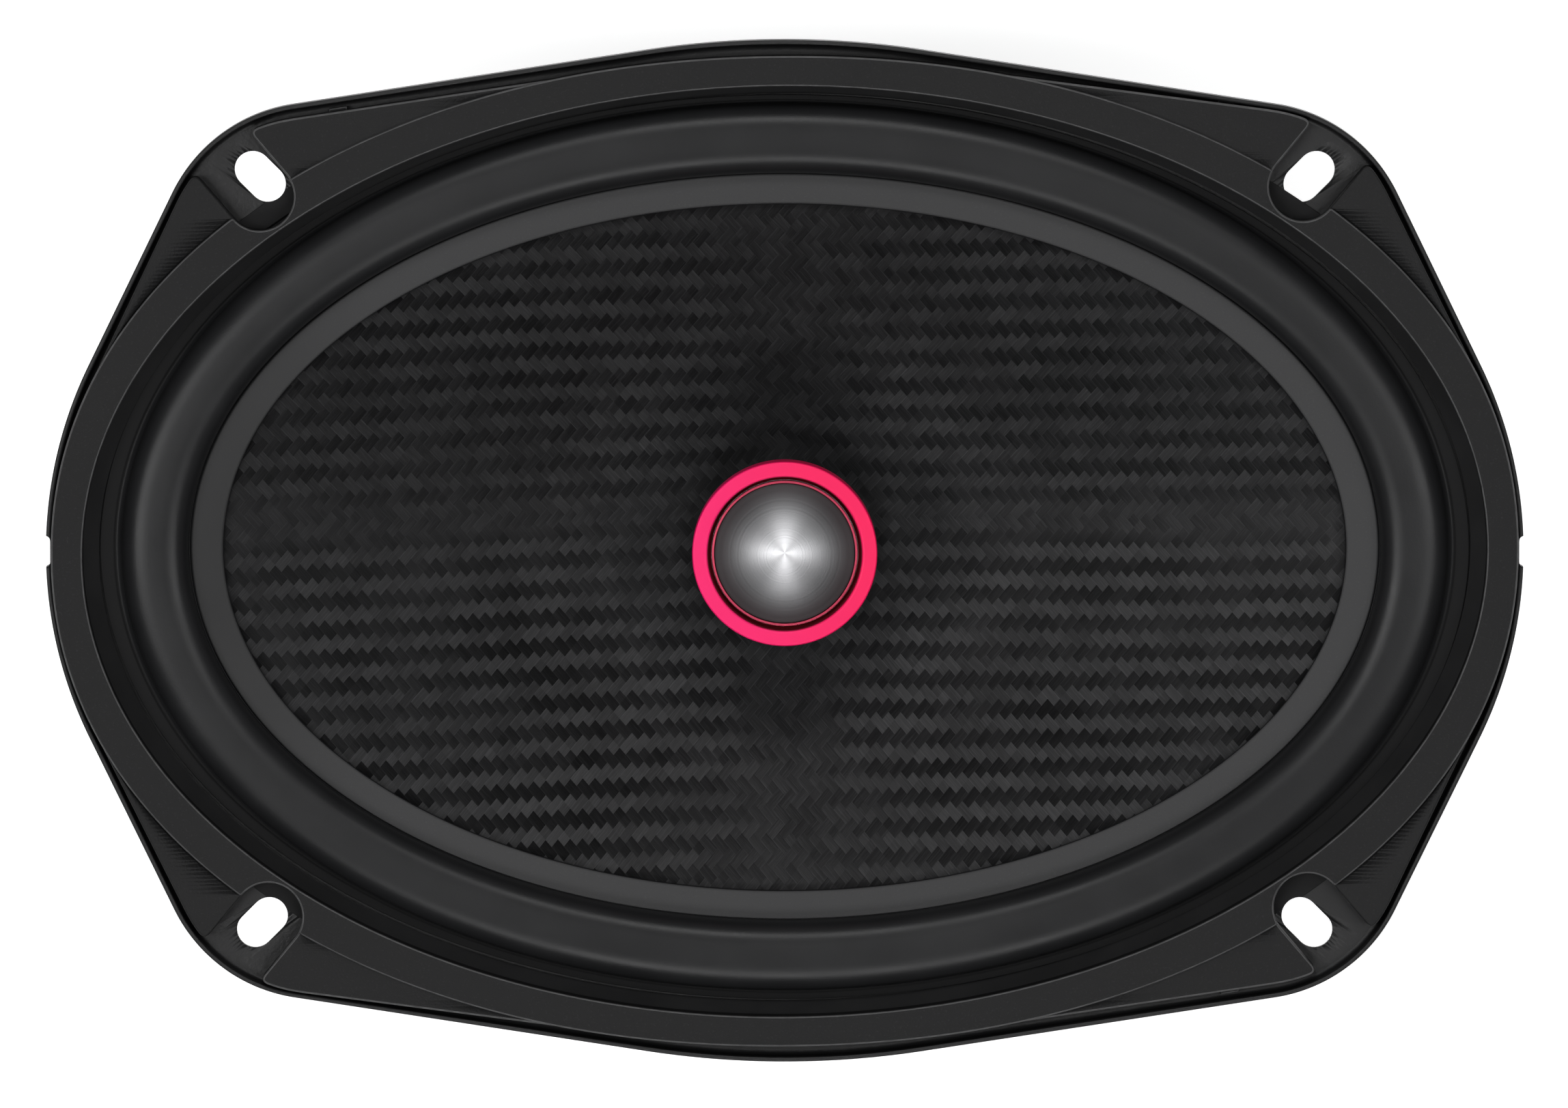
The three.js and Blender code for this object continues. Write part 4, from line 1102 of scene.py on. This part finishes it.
place(dome(), TW, "tweeter_dome", slot="dome_metal")
place(weighted(lathe("tweeter_red_ring", [(11.2, 82.65), (11.62, 82.65), (11.62, 83.25), (11.2, 83.32)], MAT["ring_red_painted_shade"], 180, 0.12)), TW, "tweeter_dome_ring", slot="red_anodised")
place(weighted(lathe("bezel_ring", [(14.05, 79.4), (14.7, 79.4), (14.7, 84.28), (14.52, 84.5), (12.5, 84.5), (12.2, 84.2), (12.2, 82.75), (14.05, 82.6)],
                     MAT["red_anodised"], 240, [0.15, 0.2, 0.18, 0.18, 0.2, 0.2, 0.1, 0.1], 5)), CH, "tweeter_bezel", slot="red_anodised")

# terminals and crossover
board = slab("board", round_poly([(-17, -58.5), (-17, -75), (17, -75), (17, -58.5)], [0.8, 1.8, 1.8, 0.8]), 41.6, 43.2, MAT["phenolic"],
             holes=[circle(-5.5, -64, 1.45, 24), circle(5.5, -64, 1.45, 24), circle(11, -71, 1.5, 24), circle(-11, -71, 1.5, 24),
                    circle(14.9, -61, 0.8, 16), circle(-14.9, -61, 0.8, 16)], bevel=0.12)
place(weighted(board), CH, "terminal_board", slot="phenolic")
for name, cx, wd, mat_ in (("blade_positive", 11, 6.3, "gold_plate"), ("blade_negative", -11, 4.8, "tin_plate")):
    h = wd / 2
    pts = round_poly([(cx - h, -63.5), (cx - h, -79.6), (cx - h + 1.2, -80.9), (cx + h - 1.2, -80.9), (cx + h, -79.6), (cx + h, -63.5)], [0.5, 0.6, 0.6, 0.6, 0.6, 0.5])
    b = slab(name, pts, 43.25, 44.05, MAT[mat_], holes=[circle(cx, -77.4, 0.9, 24), circle(cx, -71, 1.5, 24)], bevel=0.15)
    place(weighted(b), CH, "terminal_" + name.split("_")[1], slot=mat_)
for name, x in (("positive", 11), ("negative", -11)):
    place(weighted(lathe(f"eyelet_{name}", [(0, 40.9), (2.3, 40.9), (2.3, 41.5), (1.3, 41.5), (1.3, 44.12), (2.4, 44.12), (2.1, 44.7), (1.0, 44.72), (0.7, 44.35), (0, 44.3)],
                         MAT["rivet_steel"], 40, [0, .2, .1, .1, .1, .2, .3, .3, .2, 0], at=(x, -71, 0))), CH, f"terminal_eyelet_{name}", slot="rivet_steel")
for i, x in enumerate((-5.5, 5.5)):
    place(weighted(lathe(f"board_rivet_head_{i + 1}", [(0, 38.75), (2.1, 38.75), (2.1, 39.85), (1.2, 39.85), (1.2, 43.28), (2.5, 43.28), (2.2, 44.0), (1.0, 44.25), (0, 44.3)],
                         MAT["rivet_steel"], 40, [0, .3, .1, .1, .1, .2, .5, .5, 0], at=(x, -64, 0))), CH, f"board_rivet_{i + 1}", slot="rivet_steel")
cap = lathe("capacitor", [(0, -11), (3.2, -11), (4.5, -11), (4.5, -9.6), (4.25, -9.1), (4.25, -8.6), (4.5, -8.1), (4.5, 8.1), (4.25, 8.6), (4.25, 9.1), (4.5, 9.6), (4.5, 11), (3.2, 11), (0, 11)],
            MAT["capacitor_sleeve"], 72, [0, 0.2, 0.8, 0.3, 0.2, 0.2, 0.3, 0.3, 0.2, 0.2, 0.3, 0.8, 0.2, 0])
cap.data.transform(Matrix.Translation(Vector((0, -61, 33.4)) * MM) @ Matrix.Rotation(math.pi / 2, 4, "Y"))
place(cap, CH, "crossover_capacitor", slot="capacitor_sleeve")
for i, s in enumerate((1, -1)):
    place(tube(f"capacitor_wire_{i + 1}", [(s * 11.1, -61, 33.4), (s * 13.0, -61, 33.4), (s * 14.6, -61, 34.4), (s * 14.9, -61, 36.5), (s * 14.9, -61, 44.6)], 0.38,
               MAT["lead_wire"]), CH, f"capacitor_lead_{i + 1}", slot="lead_wire")
for name, s, x1 in (("positive", 1, 12.6), ("negative", -1, 12.2)):
    place(tube(f"tweeter_wire_{name}", [
        (s * 0.9, 0, 71.7), (s * 0.9, 0, 40), (s * 0.9, 0, 8), (s * 0.9, -0.4, 4.4), (s * 0.9, -2.6, 2.1), (s * 0.9, -6, 1.7),
        (s * 0.9, -24, 1.7), (s * 0.9, -44.5, 1.7), (s * 1.0, -47.0, 3.0), (s * 1.2, -47.6, 6.5), (s * 1.4, -47.6, 20),
        (s * 2.4, -48.2, 27), (s * 5.4, -50.6, 33), (s * 9.6, -54.4, 36.4), (s * 12.0, -57.0, 39.4), (s * x1, -57.4, 43.0),
        (s * x1, -58.6, 45.0), (s * x1, -61.0, 45.3), (s * x1, -63.0, 44.75)], 0.6, MAT["lead_red" if s > 0 else "lead_black"]), CH,
        f"tweeter_lead_{name}", slot="lead_red" if s > 0 else "lead_black")
for name, s, x1 in (("positive", 1, 9.2), ("negative", -1, 9.5)):
    t = tube(f"tinsel_{name}", [
        (s * 8, -30, 55.9), (s * 8, -31.2, 52.8), (s * 8.1, -35.5, 49.3), (s * 8.3, -43, 48.0), (s * 8.6, -50, 48.9),
        (s * 8.9, -56, 49.1), (s * x1, -60.2, 47.0), (s * x1, -62.6, 44.9)], 0.62, MAT["tinsel"], sides=24, braid=0.07)
    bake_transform(t)
    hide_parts(f"tinsel_lead_{name}")

# ---------------------------------------------------------------------- studio
floor_mat = Nodes("floor")
fn = floor_mat.noise(2600.0, 1, 0.5)
floor_mat.set(Base_Color=floor_mat.mix(fn, (0.93, 0.93, 0.93), (0.96, 0.96, 0.96)), Roughness=0.9, Specular_IOR_Level=0.1,
              Emission_Color=(1, 1, 1), Emission_Strength=0.55)
me = bpy.data.meshes.new("floor")
F = 60.0
me.from_pydata([(-F, -F, 0), (F, -F, 0), (F, F, 0), (-F, F, 0)], [], [(0, 1, 2, 3)])
me.materials.append(floor_mat.mat)
fl = bpy.data.objects.new("floor", me)
COL.objects.link(fl)

world = bpy.data.worlds.new("studio")
world.use_nodes = True
bg = world.node_tree.nodes["Background"]
bg.inputs[0].default_value = (1, 1, 1, 1)
# pale room behind the part, with only a little of its light falling on it
lp = world.node_tree.nodes.new("ShaderNodeLightPath")
rm = world.node_tree.nodes.new("ShaderNodeMapRange")
rm.inputs["To Min"].default_value = 0.10
rm.inputs["To Max"].default_value = 0.93
world.node_tree.links.new(lp.outputs["Is Camera Ray"], rm.inputs["Value"])
world.node_tree.links.new(rm.outputs[0], bg.inputs[1])
bpy.context.scene.world = world


def area(name, loc, size, power, target=(0, 0, 0.08), shape="RECTANGLE"):
    li = bpy.data.lights.new(name, "AREA")
    li.shape = shape
    li.size, li.size_y = size
    li.energy = power
    ob = bpy.data.objects.new(name, li)
    COL.objects.link(ob)
    ob.location = loc
    d = Vector(target) - Vector(loc)
    ob.rotation_euler = d.to_track_quat("-Z", "Y").to_euler()
    ob.visible_camera = False
    return ob


def studio(name, azimuth, from_top, power, size, dist=1.6):
    a, t = math.radians(azimuth), math.radians(from_top)
    return area(name, (dist * math.sin(t) * math.cos(a), dist * math.sin(t) * math.sin(a), 0.08 + dist * math.cos(t)), size, power)


studio("left", 180, 26, 8.6, (0.34, 0.8))
studio("right", 0, 26, 6.0, (0.34, 0.8))
studio("far", 90, 36, 7.6, (0.8, 0.36))
studio("near", 270, 36, 7.4, (0.8, 0.36))

# a small lamp over the middle that only the metal dome catches
crown = studio("crown", 130, 2, 24.0, (0.3, 0.3))
catch = bpy.data.collections.new("dome_only")
catch.objects.link(bpy.data.objects["tweeter_dome_shell"])
crown.light_linking.receiver_collection = catch

scene = bpy.context.scene
scene.view_settings.view_transform = "Standard"
scene.view_settings.look = "None"

# camera: the speaker seen from in front, tipped 5 degrees
TILT, DIST, WIDTH = math.radians(5.0), 2.5, 0.2493
cam = bpy.data.cameras.new("camera")
cam.sensor_width = 36.0
cam.lens = 36.0 * DIST / WIDTH
cam.clip_start, cam.clip_end = 0.05, 200.0
camo = bpy.data.objects.new("camera", cam)
COL.objects.link(camo)
target = Vector((-0.00011, -0.00038, 0.0800))
camo.location = target + Vector((0, math.sin(TILT), math.cos(TILT))) * DIST
camo.rotation_euler = (-TILT, 0, 0)
scene.camera = camo
